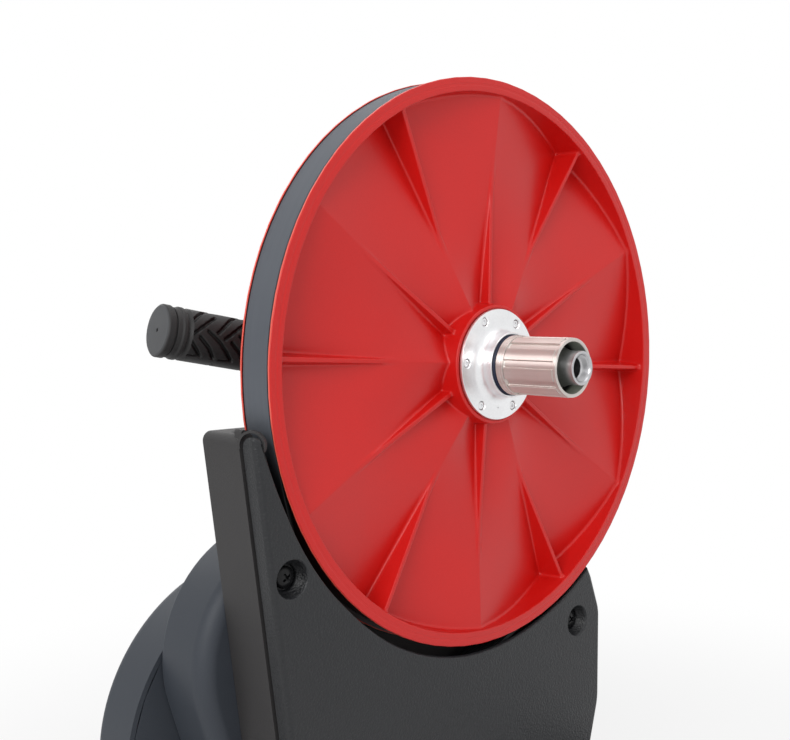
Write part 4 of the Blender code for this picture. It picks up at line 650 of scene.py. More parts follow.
def hub():
    fillet = 0.0048
    profile = [(SEAL_R + GAP, HUB_LIP), (BOSS_R - 0.0003, HUB_LIP), (BOSS_R, HUB_LIP + 0.0003),
               (BOSS_R, FLANGE_FACE - fillet)]
    for i in range(1, 13):
        turn = pi / 2 * i / 12
        out, up = fillet * (1 - cos(turn)), fillet * (1 - sin(turn))
        profile.append((BOSS_R + out, FLANGE_FACE - 0.0001 - up))
    face, rear, inner = FLANGE_FACE, HUB_LIP + 0.0013, NECK_R + SLACK
    profile += [
        (0.025, face - 0.0001), (0.0253, face), (FLANGE_R - 0.0005, face),
        (FLANGE_R - 0.00015, face + 0.00015), (FLANGE_R, face + 0.0005), (FLANGE_R, FLANGE_BACK),
        (SPIGOT_R, FLANGE_BACK), (SPIGOT_R, HUB_REAR - 0.0006), (SPIGOT_R - 0.0006, HUB_REAR),
        (0.014, HUB_REAR), (0.014, -0.004), (inner, -0.004), (inner, rear), (SEAL_R + GAP, rear),
    ]
    made = lathe("hub_flange", profile, 160)
    for x, z in bolt_places():
        cut(made, lathe("countersink", [
            (0.0035, face - 0.0004), (0.0031, face), (0.0026, face + 0.0006), (0.0026, face + 0.0013),
            (0.0016, FLANGE_BACK + SLACK),
        ], 36, False, x, z))
    turn = radians(-92.4)
    x, z = 0.0262 * cos(turn), 0.0262 * sin(turn)
    cut(made, drill(0.0005, face - 0.001, face + 0.0008, x, z, 12))
    dress(made, "machined_silver", "pulley", "hub_shell", sharp=32)
    for i, (x, z) in enumerate(bolt_places()):
        head = face + 0.0007
        bolt = lathe(f"flange_bolt_{i + 1}", soften([
            (0.0021, head), (0.0023, head + 0.0003), (0.0012, head + 0.001), (0.0012, 0.003),
        ], 0.0001, 2, False), 36, False, x, z)
        cut(bolt, lathe("socket", [(0.0014, head - 0.0005), (0.0014, head + 0.0008)], 6, False, x, z))
        dress(bolt, "machined_silver", "pulley", f"hub_bolt_{i + 1}", sharp=30)
    inner, seat, proud = NECK_R + 2 * GAP, HUB_LIP + 0.001, HUB_LIP - 0.0012
    seal = lathe("lip_seal", soften([
        (inner, seat), (SEAL_R, seat), (SEAL_R - 0.0008, proud), (inner + 0.0009, proud),
        (inner, proud + 0.0006),
    ], 0.0003, 3), 120)
    dress(seal, "navy_seal", "pulley", "hub_seal", sharp=40)


def spline_loop(y, outer, root):
    """Nine broad splines with rounded edges and filleted roots."""
    points = []
    pitch = 2 * pi / SPLINES
    half = [(0.0, 1.0), (0.15, 1.0), (0.285, 1.0), (0.3, 1.0), (0.3085, 0.82), (0.314, 0.4), (0.3215, 0.12),
            (0.335, 0.0), (0.42, 0.0), (0.5, 0.0)]
    full = half + [(1 - s, h) for s, h in reversed(half[1:-1])]
    for i in range(SPLINES):
        for share, height in full:
            angle = (i + share) * pitch + SPLINE_TURN
            on_edge = outer > root and (abs(share - 0.3) < 0.001 or abs(share - 0.7) < 0.001)
            radius = root + (outer - root) * height - (SPLINE_EDGE_DROP if on_edge else 0.0)
            points.append((radius * cos(angle), y, radius * sin(angle)))
    return points


def freehub():
    end, floor, start = FREEHUB_END, FREEHUB_END + 0.0125, SPLINE_START
    ring, rear = SPLINE_R - 0.0002, HUB_LIP - 0.002
    mouth = [(MOUTH_R, floor), (MOUTH_R, end + 0.0004), (MOUTH_R + 0.0002, end + 0.0001),
             (MOUTH_R + 0.0005, end), (ring - 0.0005, end), (ring - 0.0001, end + 0.0001),
             (ring, end + 0.0004), (ring, end + 0.0016), (ring - 0.0003, end + 0.0019)]
    seat = [(SPLINE_ROOT_R + 0.0003, start), (SEAT_R - 0.0002, start + 0.0001), (SEAT_R, start + 0.0004),
            (SEAT_R, start + 0.0014), (SEAT_R - 0.0003, start + 0.0017), (SEAT_R - 0.0003, start + 0.0021),
            (SEAT_R, start + 0.0024), (SEAT_R, rear), (NECK_R, rear), (NECK_R, -0.006), (0.013, -0.006),
            (0.013, floor)]
    loops = [spline_loop(y, radius, radius) for radius, y in mouth]
    loops.append(spline_loop(end + 0.0023, ring - 0.0003, SPLINE_ROOT_R + 0.0003))
    for y in (end + 0.0025, end + 0.008, start - 0.006, start - 0.0004):
        loops.append(spline_loop(y, SPLINE_R, SPLINE_ROOT_R))
    loops += [spline_loop(y, radius, radius) for radius, y in seat]
    made = skin("freehub_splines", loops, ring=True)
    # The freehub's finish carries painted shade inside its mouth.
    dress(made, "freehub_nickel", "freehub", "freehub_body", sharp=32, tint=mouth_painted_shade)


def axle_ends():
    bore, far_bore_end, face = 0.0062, 0.0703, CAP_FACE
    thread = []
    for i in range(5):
        y = face + 0.0011 + i * 0.0009
        thread += [(bore + 0.0013, y), (bore + 0.0007, y + 0.00045)]
    profile = [(bore, face + 0.0162), (bore, face + 0.0058)] + list(reversed(thread))
    profile += [(bore + 0.0014, face + 0.0007), (bore + 0.0021, face), (CAP_R - 0.0004, face),
                (CAP_R - 0.0001, face + 0.0001), (CAP_R, face + 0.0004), (CAP_R, face + 0.006),
                (CAP_R + 0.0001, face + 0.0085), (CAP_R + 0.0006, face + 0.011), (0.0112, face + 0.0132),
                (0.0112, face + 0.0162)]
    dress(lathe("axle_end_drive", profile, 120), "steel", "frame", "drive_end_cap", sharp=32)
    start, cone = 0.0623, NON_DRIVE_FACE
    profile = soften([
        (bore, cone), (bore, far_bore_end), (AXLE_R + GAP, far_bore_end), (AXLE_R + GAP, start),
        (0.015, start), (0.015, 0.068), (0.0125, cone - 0.0005), (0.0121, cone),
    ], 0.0004, 3)
    dress(lathe("axle_end_far", profile, 96), "dark_steel", "frame", "non_drive_end_cap", sharp=32)


# ---- casting, cover, screws

def rear_edge_x(z):
    return REAR_TOP_X + REAR_LEAN * (TUB_TOP - z)


def lower_outline(inset, top_z, tip_drop=0.0):
    bottom = TUB_BOTTOM + inset
    return [
        (rear_edge_x(top_z) + inset, top_z, 0.0),
        (rear_edge_x(bottom) + inset, bottom, 0.035),
        (FRONT_EDGE_X - 0.018 - inset, bottom, 0.035),
        (FRONT_EDGE_X - inset, (bottom + FRONT_SHOULDER_Z) / 2, 0.04),
        (FRONT_EDGE_X - inset, FRONT_SHOULDER_Z, 0.025),
        (FRONT_TIP_X - inset, FRONT_TIP_Z - tip_drop, 0.0),
    ]


def pocket_outline(inset):
    """The pocket that casting and cover share behind the pulley."""
    return rounded(lower_outline(inset, TUB_TOP - 0.03, 0.006) + [(0.0, -0.1, 0.0)])


def handle_point(along):
    return HANDLE_END + HANDLE_AXIS * along


def casting():
    edges = lower_outline(0.0, TUB_TOP)
    edges[0] = (REAR_TOP_X, CASTING_TOP, 0.005)
    edges[-1] = (FRONT_TIP_X, FRONT_TIP_Z, 0.006)
    top = BOSS_HALF + 0.001
    outline = rounded(edges + [
        (0.052, -0.088, 0.03), (top, top, BOSS_HALF - 0.001), (-top, top, BOSS_HALF - 0.001),
        (-top - 0.011, CASTING_TOP, 0.02),
    ])
    made = plate("upright_casting", outline, FRAME_FRONT, FRAME_BACK)
    ahead, back = FRAME_FRONT - OVER, FRAME_BACK + OVER
    cut(made, plate("pocket", pocket_outline(TUB_WALL), ahead, FRAME_PLATE - GAP))
    join(made, rod("boss", handle_point(GRIP_LENGTH + GAP), handle_point(0.176), 0.0165))
    cut(made, skin("well", [circle(PULLEY_R + 0.005, y, 180) for y in (ahead, FRAME_PLATE)]))
    for x, z in SCREWS:
        join(made, drill(0.0078, FRAME_FRONT + GAP, FRAME_PLATE + SLACK, x, z, 32))
    join(made, drill(0.022, FRAME_PLATE + SLACK, BOSS_END))
    join(made, roof(), roof_wall())
    cut(made, rod("bore", handle_point(GRIP_LENGTH - SLACK), handle_point(0.1506), BAR_HOLE_R))
    join(made, drill(0.0225, FRAME_PLATE - 0.003, FRAME_BACK - SLACK, FLY_X, FLY_Z))
    cut(made, drill(BEARING_SEAT_R, FRAME_PLATE - SLACK, back, FLY_X, FLY_Z))
    cut(made, drill(SHAFT_HOLE_R, FRAME_PLATE - SLACK - OVER, back, FLY_X, FLY_Z))
    cut(made, drill(AXLE_R + GAP, FRAME_PLATE - OVER, BOSS_END + OVER))
    for x, z in SCREWS:
        cut(made, drill(PILOT_R, ahead, FRAME_PLATE - SLACK, x, z, 16))
    low, right = TUB_BOTTOM + 2 * TUB_WALL, FRONT_EDGE_X - 2 * TUB_WALL
    for corners in (
        [(-0.02, -0.15), (-0.02, low), (0.028, low), (0.028, -0.15)],
        [(0.036, -0.15), (0.036, low), (right - 0.02, low), (right, -0.19), (right - 0.01, -0.15)],
        [(-0.028, -0.042), (-0.036, -0.14), (0.005, -0.14), (0.0, -0.042)],
        [(0.008, -0.042), (0.013, -0.14), (0.07, -0.14), (0.033, -0.07)],
    ):
        outline = rounded([(x, z, 0.006) for x, z in corners], 8)
        cut(made, plate("relief", outline, FRAME_PLATE + 0.0045, back))
    for x in BASE_BOLT_X:
        hole = rod("hole", (x, BASE_BOLT_Y, TUB_BOTTOM - OVER), (x, BASE_BOLT_Y, -0.2961), BOLT_HOLE_R, 16)
        cut(made, hole)
    dress(made, "frame_grey", "frame", "frame_casting", sharp=30, edge=0.001)


def roof():
    """The little arch over the cover's rear tip. It stands askew, from the casting's edge to the cover's."""
    start, end, steps = radians(-28.0), radians(198.0), 30
    along, behind = Vector((0.526, -0.85)), Vector((0.85, 0.526))
    middle = Vector((-0.1812, FRAME_FRONT)) + along * 0.0066
    loops = []
    for depth in (0.0, 0.003):
        loop = []
        for radius, path in ((0.0074, range(steps + 1)), (0.0061, range(steps, -1, -1))):
            for i in path:
                angle = start + (end - start) * i / steps
                place = middle + along * (radius * cos(angle)) + behind * depth
                loop.append((place.x, place.y, -0.0346 + radius * sin(angle)))
        loops.append(loop)
    return skin("roof", loops)


def roof_wall():
    """The low wall that closes the roof's arch from behind."""
    low = rear_edge_x(-0.034)
    wall = rounded([(low + 0.002, -0.036, 0.0), (low + 0.009, -0.036, 0.0), (low + 0.008, -0.0276, 0.005),
                    (low + 0.002, -0.0272, 0.0012)], 6)
    return plate("roof_wall", wall, FRAME_FRONT, FRAME_FRONT + 0.006)


# How far the cover's arc stands off the pulley's rim, in mm, at angles in degrees from +X towards +Z.
ARC_GAPS = ((189, 8.4), (192, 7.6), (195, 6.3), (199, 5.2), (204, 4.3), (212, 4.1), (220, 4.0), (227, 3.8),
            (234, 4.6), (241, 5.6), (250, 6.0), (262, 5.6), (274, 4.2), (285, 2.8), (300, 2.4))


def arc_gap(angle):
    return 0.001 * float(np.interp(degrees(angle) % 360.0, *zip(*ARC_GAPS)))


def cover_outline(inset, arc_inset, drop):
    arc_r = COVER_ARC_R + arc_inset
    top_z = -0.0286 - inset - drop
    edges = lower_outline(inset, top_z)
    x, z, _ = edges[0]
    tip_round = 0.0022 - inset * 0.35
    edges[0] = (x, z, tip_round)
    end_angle = atan2(FRONT_TIP_Z, FRONT_TIP_X - inset + 0.002)
    start_angle = -pi - asin(top_z / arc_r)
    arc = []
    for i in range(91):
        angle = end_angle + (start_angle - end_angle) * i / 90
        reach = PULLEY_R + arc_gap(angle) + arc_inset
        arc.append((reach * cos(angle), reach * sin(angle), 0.0))
    shoulder = (FRONT_TIP_X - inset - 0.0035, FRONT_TIP_Z + 0.003 - inset, 0.0)
    tip = (FRONT_TIP_X - inset, FRONT_TIP_Z - 0.003 - inset, 0.0)
    arc[-1] = (arc[-1][0], arc[-1][1], tip_round)
    return rounded(edges[:-1] + [tip, shoulder] + arc[3:-4] + [arc[-1]], 10)


def cover():
    def loop(inset, arc_inset, y, drop=0.0):
        return [(x, y, z) for x, z in cover_outline(0.0012 + inset, arc_inset, drop)]

    seam, soft, hard = FRAME_FRONT - GAP, 0.003, 0.0012
    loops = [loop(0.0024, 0.0004, seam, 0.003), loop(0.0024, 0.0004, seam - 0.0013, 0.003)]
    seam -= 0.0014
    for i in range(7):
        t = i / 6
        loops.append(loop(0.0, 0.0, seam - 0.006 * t, 0.0045 * (1 - sqrt(max(0.0, 1 - (1 - t) ** 2)))))
    for i in range(7):
        turn = radians(15 * i)
        lean = 1 - cos(turn)
        loops.append(loop(soft * lean, hard * lean, COVER_FACE + soft * (1 - sin(turn))))
    made = skin("drive_side_cover", loops)
    seam += 0.0014
    cut(made, plate("inside", pocket_outline(0.0012 + TUB_WALL), COVER_FACE + 0.0026, seam + OVER))
    floor = COVER_FACE + 0.0078
    for x, z in SCREWS:
        join(made, drill(0.0112, COVER_FACE + 0.0013, seam - GAP, x, z))
        mouth = [(0.0124, COVER_FACE - SLACK), (0.0112, COVER_FACE - 0.0002)]
        for turn in (15, 30, 45, 60, 75):
            a = radians(turn)
            mouth.append((0.01 + 0.001 * (1 - sin(a)), COVER_FACE + 0.001 * (1 - cos(a))))
        mouth += [(radius, COVER_FACE + deep) for radius, deep in (
            (0.0098, 0.0012), (0.0092, 0.0026), (0.0084, 0.0042), (0.0074, 0.0056), (0.0069, 0.0062))]
        mouth.append((0.0068, floor))
        cut(made, lathe("mouth", mouth, 90, False, x, z))
        cut(made, drill(PILOT_R, floor - SLACK, seam + OVER, x, z, 16))
    # The cover's finish carries painted shade inside its screw wells.
    dress(made, "cover_plastic", "frame", "drive_cover", sharp=40, tint=bowl_painted_shade)
    for i, (x, z) in enumerate(SCREWS):
        seat = COVER_FACE + 0.0075
        top = seat - 0.0028
        head = lathe(f"cross_screw_{i + 1}", [
            (0.0015, top + 0.00005), (0.003, top + 0.0003), (0.0045, top + 0.0009), (0.0055, top + 0.0015),
            (0.0059, top + 0.0021), (0.006, seat - 0.0002), (0.0058, seat), (0.002, seat),
            (0.002, seat + 0.018),
        ], 40, False, x, z)
        for turn in (35, 125):
            c, s = cos(radians(turn)), sin(radians(turn))
            loops = []
            for y, half, long in ((top - 0.0004, 0.00075, 0.0034), (top + 0.0016, 0.0005, 0.0016)):
                loops.append([(x + u * c - v * s, y, z + u * s + v * c)
                              for u, v in ((-long, -half), (long, -half), (long, half), (-long, half))])
            cut(head, skin("cross", loops))
        dress(head, "black_screw", "frame", f"cover_screw_{i + 1}", sharp=30)


# ---- brake housing and flywheel cover

def housing():
    def outline(shrink):
        steps = 44
        r1, r2 = HOUSING_R - shrink, HOUSING_LOW_R - shrink
        line = Vector((FLY_X - HOUSING_X, FLY_Z - HOUSING_Z))
        heading = atan2(line.y, line.x)
        spread = acos((r1 - r2) / line.length)
        points = []
        for i in range(steps + 1):
            angle = heading + spread + (2 * pi - 2 * spread) * i / steps
            points.append((HOUSING_X + r1 * cos(angle), HOUSING_Z + r1 * sin(angle)))
        for i in range(steps + 1):
            angle = heading - spread + 2 * spread * i / steps
            points.append((FLY_X + r2 * cos(angle), FLY_Z + r2 * sin(angle)))
        return points

    def loop(shrink, y):
        return [(x, y, z) for x, z in outline(shrink)]

    start, wall, front = FRAME_BACK + GAP, 0.003, 0.01
    loops = []
    for i in range(9):
        turn = pi / 2 * i / 8
        loops.append(loop(front * (1 - sin(turn)), start + front * (1 - cos(turn))))
    for i in range(5):
        turn = pi / 2 * i / 4
        loops.append(loop(0.0025 * (1 - cos(turn)), HOUSING_END - 0.0025 * (1 - sin(turn))))
    made = skin("brake_drum_housing", loops)
    fly = (FLY_X, FLY_Z)
    cut(made, drill(0.038, start - OVER, start + wall + OVER, *fly))
    cut(made, skin("inside", [loop(wall + front * 0.5, start + wall), loop(wall, start + front),
                              loop(wall, HOUSING_END - wall)]))
    join(made, drill(0.0205, HOUSING_END - wall - 0.0116, HOUSING_END - wall + SLACK, *fly))
    cut(made, drill(BEARING_SEAT_R, HOUSING_END - wall - 0.0166, HOUSING_END - wall, *fly))
    cut(made, drill(SHAFT_HOLE_R, HOUSING_END - OVER, HOUSING_END + OVER, *fly))
    reach = sqrt(HOUSING_LOW_R ** 2 - 0.0186 ** 2)
    x, y, z = FLY_X - reach - 0.003, (FRAME_BACK + HOUSING_END) / 2, FLY_Z - 0.0186
    cut(made, rod("hole", (x - 0.01, y, z), (x + 0.03, y, z), 0.0058))
    dress(made, "housing_plastic", "frame", "brake_housing", sharp=35)
    socket = upright("power_inlet", soften([
        (0.001, 0.001), (0.001, 0.0096), (0.0032, 0.0096), (0.0032, 0.0), (0.0055, 0.0), (0.0055, 0.016),
    ], 0.0004, 3, False), 48)
    socket.data.transform(Matrix.Translation((x, y, z)) @ Matrix.Rotation(pi / 2, 4, "Y"))
    dress(socket, "black_screw", "frame", "power_socket", sharp=35)
    inner, floor, back, dish = COVER_R - 0.003, 0.1135, COVER_BACK, COVER_R * 0.55
    seam = HOUSING_END + GAP
    profile = [(dish, floor)] + soften([(0.07, floor), (inner, floor), (inner, seam)], 0.005, 5, False)
    profile += [(COVER_R, seam)]
    profile += soften([
        (COVER_R, HOUSING_END + 0.002), (COVER_R, back), (0.088, back), (0.0865, back - 0.0008),
        (0.064, back - 0.0008), (0.0625, back), (dish + 0.002, back), (dish, back - 0.0012),
    ], [0, 0.006, 0.0004, 0.0004, 0.0004, 0.0004, 0.0006, 0], 6, False)
    made = lathe("flywheel_drum_cover", profile, 144, False, *fly)
    dress(made, "housing_plastic", "frame", "flywheel_cover", sharp=35)


# ---- belt

def belt():
    half, pitch = 0.0011, GAP + 0.0011
    big = (0.0, 0.0, LAND_R + pitch)
    small = (FLY_X, FLY_Z, 0.012 + pitch)
    line = Vector((FLY_X, FLY_Z))
    lean = atan2(FLY_Z, FLY_X) + acos((big[2] - small[2]) / line.length)
    normal = Vector((cos(lean), sin(lean)))
    idler = (normal * big[2] + line + normal * small[2]) / 2 + normal * (0.014 + pitch - 0.006)
    circles = [(*big, 1), (*small, 1), (idler.x, idler.y, 0.014 + pitch, -1)]

    def tangent(one, two):
        (x1, z1, r1, s1), (x2, z2, r2, s2) = one, two
        run = Vector((x2 - x1, z2 - z1))
        angle = atan2(run.y, run.x) - pi / 2 + asin((r1 * s1 - r2 * s2) / run.length)
        out = Vector((cos(angle), sin(angle)))
        return Vector((x1, z1)) + out * r1 * s1, Vector((x2, z2)) + out * r2 * s2

    runs = [tangent(circles[i], circles[(i + 1) % 3]) for i in range(3)]
    path = []
    for i, (x, z, radius, sense) in enumerate(circles):
        centre = Vector((x, z))
        start, end = runs[i - 1][1] - centre, runs[i][0] - centre
        a = atan2(start.y, start.x)
        sweep = (atan2(end.y, end.x) - a) * sense % (2 * pi)
        steps = max(8, round(sweep / radians(1.5 if radius > 0.1 else 6.0)))
        for k in range(steps + 1):
            angle = a + sense * sweep * k / steps
            spoke = Vector((cos(angle), sin(angle)))
            path.append((centre + spoke * radius, spoke * sense))
    y0, width, edge = 0.0022, 0.02, 0.0005
    across = [(half - edge, y0), (half - edge * 0.3, y0 + edge * 0.3), (half, y0 + edge)]
    across += [(half - 0.00006 * (i % 2), y0 + edge + (width - 2 * edge) * i / 24) for i in range(1, 24)]
    across += [(half, y0 + width - edge), (half - edge * 0.3, y0 + width - edge * 0.3),
               (half - edge, y0 + width)]
    for i in range(13):
        across.append((-half + (0.0008 if i % 2 else 0.0), y0 + width - 0.0006 - (width - 0.0012) * i / 12))
    rows = [[(p.x + n.x * out, y, p.y + n.y * out) for p, n in path] for out, y in across]
    made = skin("poly_v_belt", rows, ring=True)
    # The belt's finish carries a painted shadow where it runs into the casting.
    dress(made, "belt_rubber", "frame", "drive_belt", sharp=40, tint=belt_painted_shadow)


# ---- handle grip

TREAD_REPEAT = 0.0186
# The tread's grooves as lines on the unrolled tube: half width, then places along and around, all in mm.
TREAD = (
    (0.8, ((10.2, 4.2), (14.8, 9.4), (23.2, 19.6), (31.0, 22.0))),
    (0.75, ((14.4, 1.5), (20.4, 6.9), (28.0, 13.9))),
    (0.85, ((18.8, 0.2), (25.2, -5.0), (29.8, -10.9))),
    (0.85, ((23.2, 4.2), (30.4, -0.7), (35.8, -5.7), (39.8, -9.9))),
    (0.45, ((14.8, -11.4), (22.4, -10.9))),
    (0.6, ((13.4, -15.5), (14.2, -22.3))),
)


def tread_depth(along, around):
    """How deep the tread is cut, from 0 on a block to 1 in a groove, at arrays of places in metres."""
    depth = np.zeros(np.broadcast(along, around).shape)
    for half, line in TREAD:
        for (s0, a0), (s1, a1) in zip(line, line[1:]):
            run = np.array((s1 - s0, a1 - a0)) * 0.001
            for turn in range(-3, 8):
                u = along - s0 * 0.001 - turn * TREAD_REPEAT
                v = around - a0 * 0.001
                t = np.clip((u * run[0] + v * run[1]) / (run @ run), 0.0, 1.0)
                away = np.hypot(u - t * run[0], v - t * run[1])
                depth = np.maximum(depth, np.clip((half * 0.001 + 0.0003 - away) / 0.0004, 0.0, 1.0))
    return depth


def grip():
    """A moulded grip: a ringed end and a chevron tread, cut as a depth map on a tube."""
    turn = Vector((0, 0, 1)).rotation_difference(HANDLE_AXIS)
    place = Matrix.Translation(HANDLE_END) @ turn.to_matrix().to_4x4()
    facing = turn.inverted() @ Vector((-0.1408, -0.9883, -0.0591))
    middle = atan2(facing.y, facing.x)
    body, deep, start = GRIP_R - 0.0002, 0.0015, 0.0143
    steps, rows = 240, 216
    angles = np.arange(steps) * 2 * pi / steps

    def ring(radius, along):
        return [(radius * cos(a), radius * sin(a), along) for a in angles]

    groove = GRIP_R - 0.0016
    rounds = [0, 0, 0.0002, 0.0002, 0.0008, 0.0006, 0.0005, 0.0003]
    rounds += [0.0003, 0.0005, 0.0008, 0.0007, 0.0006, 0.0003, 0.0003, 0]
    ends = soften([
        (0.0004, 0.0016), (0.0007, 0.0014), (0.0009, 0.0002), (0.0013, 0.0), (GRIP_R - 0.0012, 0.0),
        (GRIP_R, 0.001), (GRIP_R, 0.0045), (groove, 0.0048), (groove, 0.0056), (GRIP_R - 0.0008, 0.006),
        (GRIP_R - 0.0006, 0.0084), (GRIP_R, 0.0093), (GRIP_R, 0.0113), (groove, 0.0118), (groove, 0.0126),
        (body, start),
    ], rounds, 4, False)
    loops = [ring(r, a) for r, a in ends]
    # Per-point values for the painted light: 1 gives the end face a painted sheen, minus the groove depth
    # gives the grooves painted shade.
    shade_and_sheen_rows = [[1.0 if a < 0.0002 and r > 0.001 else 0.0] * steps for r, a in ends]
    alongs = start + (GRIP_LENGTH - start) * np.arange(1, rows) / rows
    turned = (angles - middle + pi) % (2 * pi) - pi
    around = -turned * body
    half = pi / 2 * body
    around = np.where(np.abs(around) > half, np.sign(around) * (2 * half - np.abs(around)), around)
    depths = tread_depth(alongs[:, None], around[None, :])
    depths[-2:] = 0.0
    for along, depth in zip(alongs, depths):
        radii = body - deep * depth
        loops.append([(r * cos(a), r * sin(a), along) for r, a in zip(radii, angles)])
        shade_and_sheen_rows.append([-float(d) for d in depth])
    inner = [ring(body, GRIP_LENGTH - 0.0002), ring(body - 0.0006, GRIP_LENGTH),
             ring(BAR_HOLE_R, GRIP_LENGTH), ring(BAR_HOLE_R, 0.004), ring(0.011, 0.003)]
    loops += inner
    shade_and_sheen_rows += [[0.0] * steps for _ in inner]
    made = skin("tread_grip", loops)
    made.data.transform(place)
    # The grip's finish paints shade into its grooves and sheen onto its end face.
    dress(made, "grip_rubber", "frame", "handle_grip", sharp=50, tint=tread_painted_light)
    shade_and_sheen = made.data.attributes.new("shade_and_sheen", "FLOAT", "POINT")
    shade_and_sheen.data.foreach_set("value", [value for row in shade_and_sheen_rows for value in row])


# ---- base

def pivot_y(side):
    return BEAM_MID + side * PIVOT_OUT


def at_pivot(side):
    return Matrix.Translation((PIVOT_X, pivot_y(side), 0.0))


def base():
    left, right = pivot_y(1) + 0.021, pivot_y(-1) - 0.021
    rear, front, corner = PIVOT_X - 0.021, PIVOT_X + 0.021, 0.019
    start = BEAM_X[1] - 0.06 + OVER
    lug = rounded([
        (start, BEAM_Y[1], 0.0), (rear, BEAM_Y[1] + 0.003, 0.0), (rear, left, corner), (front, left, corner),
        (front, right, corner), (rear, right, corner), (rear, BEAM_Y[0] - 0.003, 0.0),
        (start, BEAM_Y[0], 0.0),
    ], 14)
    outline = [(BEAM_X[0], BEAM_Y[0]), (BEAM_X[1], BEAM_Y[0]), (BEAM_X[1], BEAM_Y[1]), (BEAM_X[0], BEAM_Y[1])]
    made = slab("base_channel", outline, 0.004, BEAM_TOP)
    join(made, slab("lug", lug, BEAM_TOP - 0.0097, BEAM_TOP), slab("lug", lug, 0.004, 0.0102))
    inner = [(BEAM_X[0] + 0.0045, BEAM_Y[0] + 0.0045), (BEAM_X[1] - 0.06, BEAM_Y[0] + 0.0045),
             (BEAM_X[1] - 0.06, BEAM_Y[1] - 0.0045), (BEAM_X[0] + 0.0045, BEAM_Y[1] - 0.0045)]
    cut(made, slab("channel", inner, -OVER, BEAM_TOP - 0.0045))
    for side in (1, -1):
        y = pivot_y(side)
        cut(made, rod("hole", (PIVOT_X, y, -0.01), (PIVOT_X, y, BEAM_TOP + OVER), PIN_HOLE_R))
    for x in BASE_BOLT_X:
        low, high = (x, BASE_BOLT_Y, BEAM_TOP - 0.009), (x, BASE_BOLT_Y, BEAM_TOP + OVER)
        cut(made, rod("hole", low, high, BOLT_HOLE_R, 24))
    dress(made, "frame_grey", "frame", "base_beam", FLOOR, 30, 0.0012)
    for label, side in (("left", 1), ("right", -1)):
        leg(label, side)


def section(x, half, low, high, edge=0.004):
    corners = [(-half, low, edge), (half, low, edge), (half, high, edge), (-half, high, edge)]
    return [(x, y, z) for y, z in rounded(corners, 6)]


def leg(label, side):
    low, top = LEG_LOW, BEAM_TOP - 0.0097 - GAP
    tip = 0.013
    rows = []
    for i in range(25):
        t = i / 24
        x = 0.006 + (LEG_LENGTH - 0.006) * t
        along = min(max((x - LEG_LENGTH * 0.2) / (LEG_LENGTH * 0.32), 0.0), 1.0)
        ease = along * along * (3 - 2 * along)
        thin = 0.001 * min(max((t - 0.52) / 0.48, 0.0), 1.0)
        high = (top - 0.0012) + (0.0278 - top + 0.0012) * ease - thin
        rows.append(section(x, 0.015 - 0.002 * t, low, high))
    for share in (0.25, 0.5, 0.7, 0.85, 0.95, 1.0):
        drop = 1 - sqrt(max(0.0, 1 - share * share))
        rows.append(section(LEG_LENGTH + tip * 1.1 * share, tip * (1 - 0.55 * drop), low + 0.001 * drop,
                            0.0268 - 0.003 * drop, 0.0035))
    made = skin(f"{label}_leg_casting", rows)
    join(made, upright("eye", [(0.0192, 0.0105), (0.02, 0.0113), (0.02, top - 0.0008), (0.0192, top)], 72))
    cut(made, rod("hole", (0, 0, 0), (0, 0, top + OVER), PIN_HOLE_R))
    cut(made, rod("hole", (LEG_LENGTH, 0, 0), (LEG_LENGTH, 0, LEG_LOW + 0.0085), BOLT_HOLE_R, 32))
    made.data.transform(at_pivot(side) @ Matrix.Rotation(side * LEG_SPREAD, 4, "Z"))
    dress(made, "frame_grey", f"{label}_leg", f"{label}_leg", FLOOR, 30, 0.0005)
    foot_x = PIVOT_X + LEG_LENGTH * cos(LEG_SPREAD)
    foot(f"{label}_leg_pad", f"{label}_leg_foot", f"{label}_leg", foot_x,
         pivot_y(side) + side * LEG_LENGTH * sin(LEG_SPREAD))
    pin_top = BEAM_TOP + 0.009
    pin = upright(f"{label}_pivot_pin", soften([
        (0.009, 0.0015), (0.009, 0.0037), (0.006, 0.0037), (0.006, pin_top),
    ], 0.0004, 3, False), 48)
    pin.data.transform(at_pivot(side))
    dress(pin, "steel", "frame", f"{label}_leg_pin", FLOOR, 32)
    knob(label, side, pin_top)


def knob(label, side, pin_top):
    seat, radius, height = BEAM_TOP + GAP, 0.017, 0.018

    def lobes(r, z, depth):
        points = []
        for i in range(120):
            angle = 2 * pi * i / 120
            reach = r - depth * (0.5 - 0.5 * cos(5 * angle)) ** 1.5
            points.append((reach * cos(angle), reach * sin(angle), z))
        return points

    loops = [lobes(0.0063, pin_top + GAP, 0.0), lobes(0.0063, seat, 0.0), lobes(radius * 0.6, seat, 0.0),
             lobes(radius * 0.62, seat + 0.0004, 0.0), lobes(radius * 0.66, seat + 0.0026, 0.0006)]
    for t in (0.0, 0.3, 0.6, 0.85, 1.0):
        loops.append(lobes(radius * (0.86 + 0.14 * sin(t * pi / 2)), seat + 0.0034 + 0.0022 * t, 0.0032))
    loops.append(lobes(radius, seat + height - 0.0042, 0.0034))
    for turn in (20, 40, 60, 80):
        a = radians(turn)
        inset, rise = 0.0034 * (1 - cos(a)), 0.0038 * sin(a)
        loops.append(lobes(radius - inset, seat + height - 0.0042 + rise, 0.0034))
    loops.append(lobes(radius * 0.55, seat + height - 0.0001, 0.0018))
    loops.append(lobes(radius * 0.2, seat + height, 0.0004))
    made = skin(f"{label}_hand_knob", loops)
    made.data.transform(at_pivot(side))
    dress(made, "grip_rubber", f"{label}_knob", f"{label}_leg_knob", FLOOR, 50)


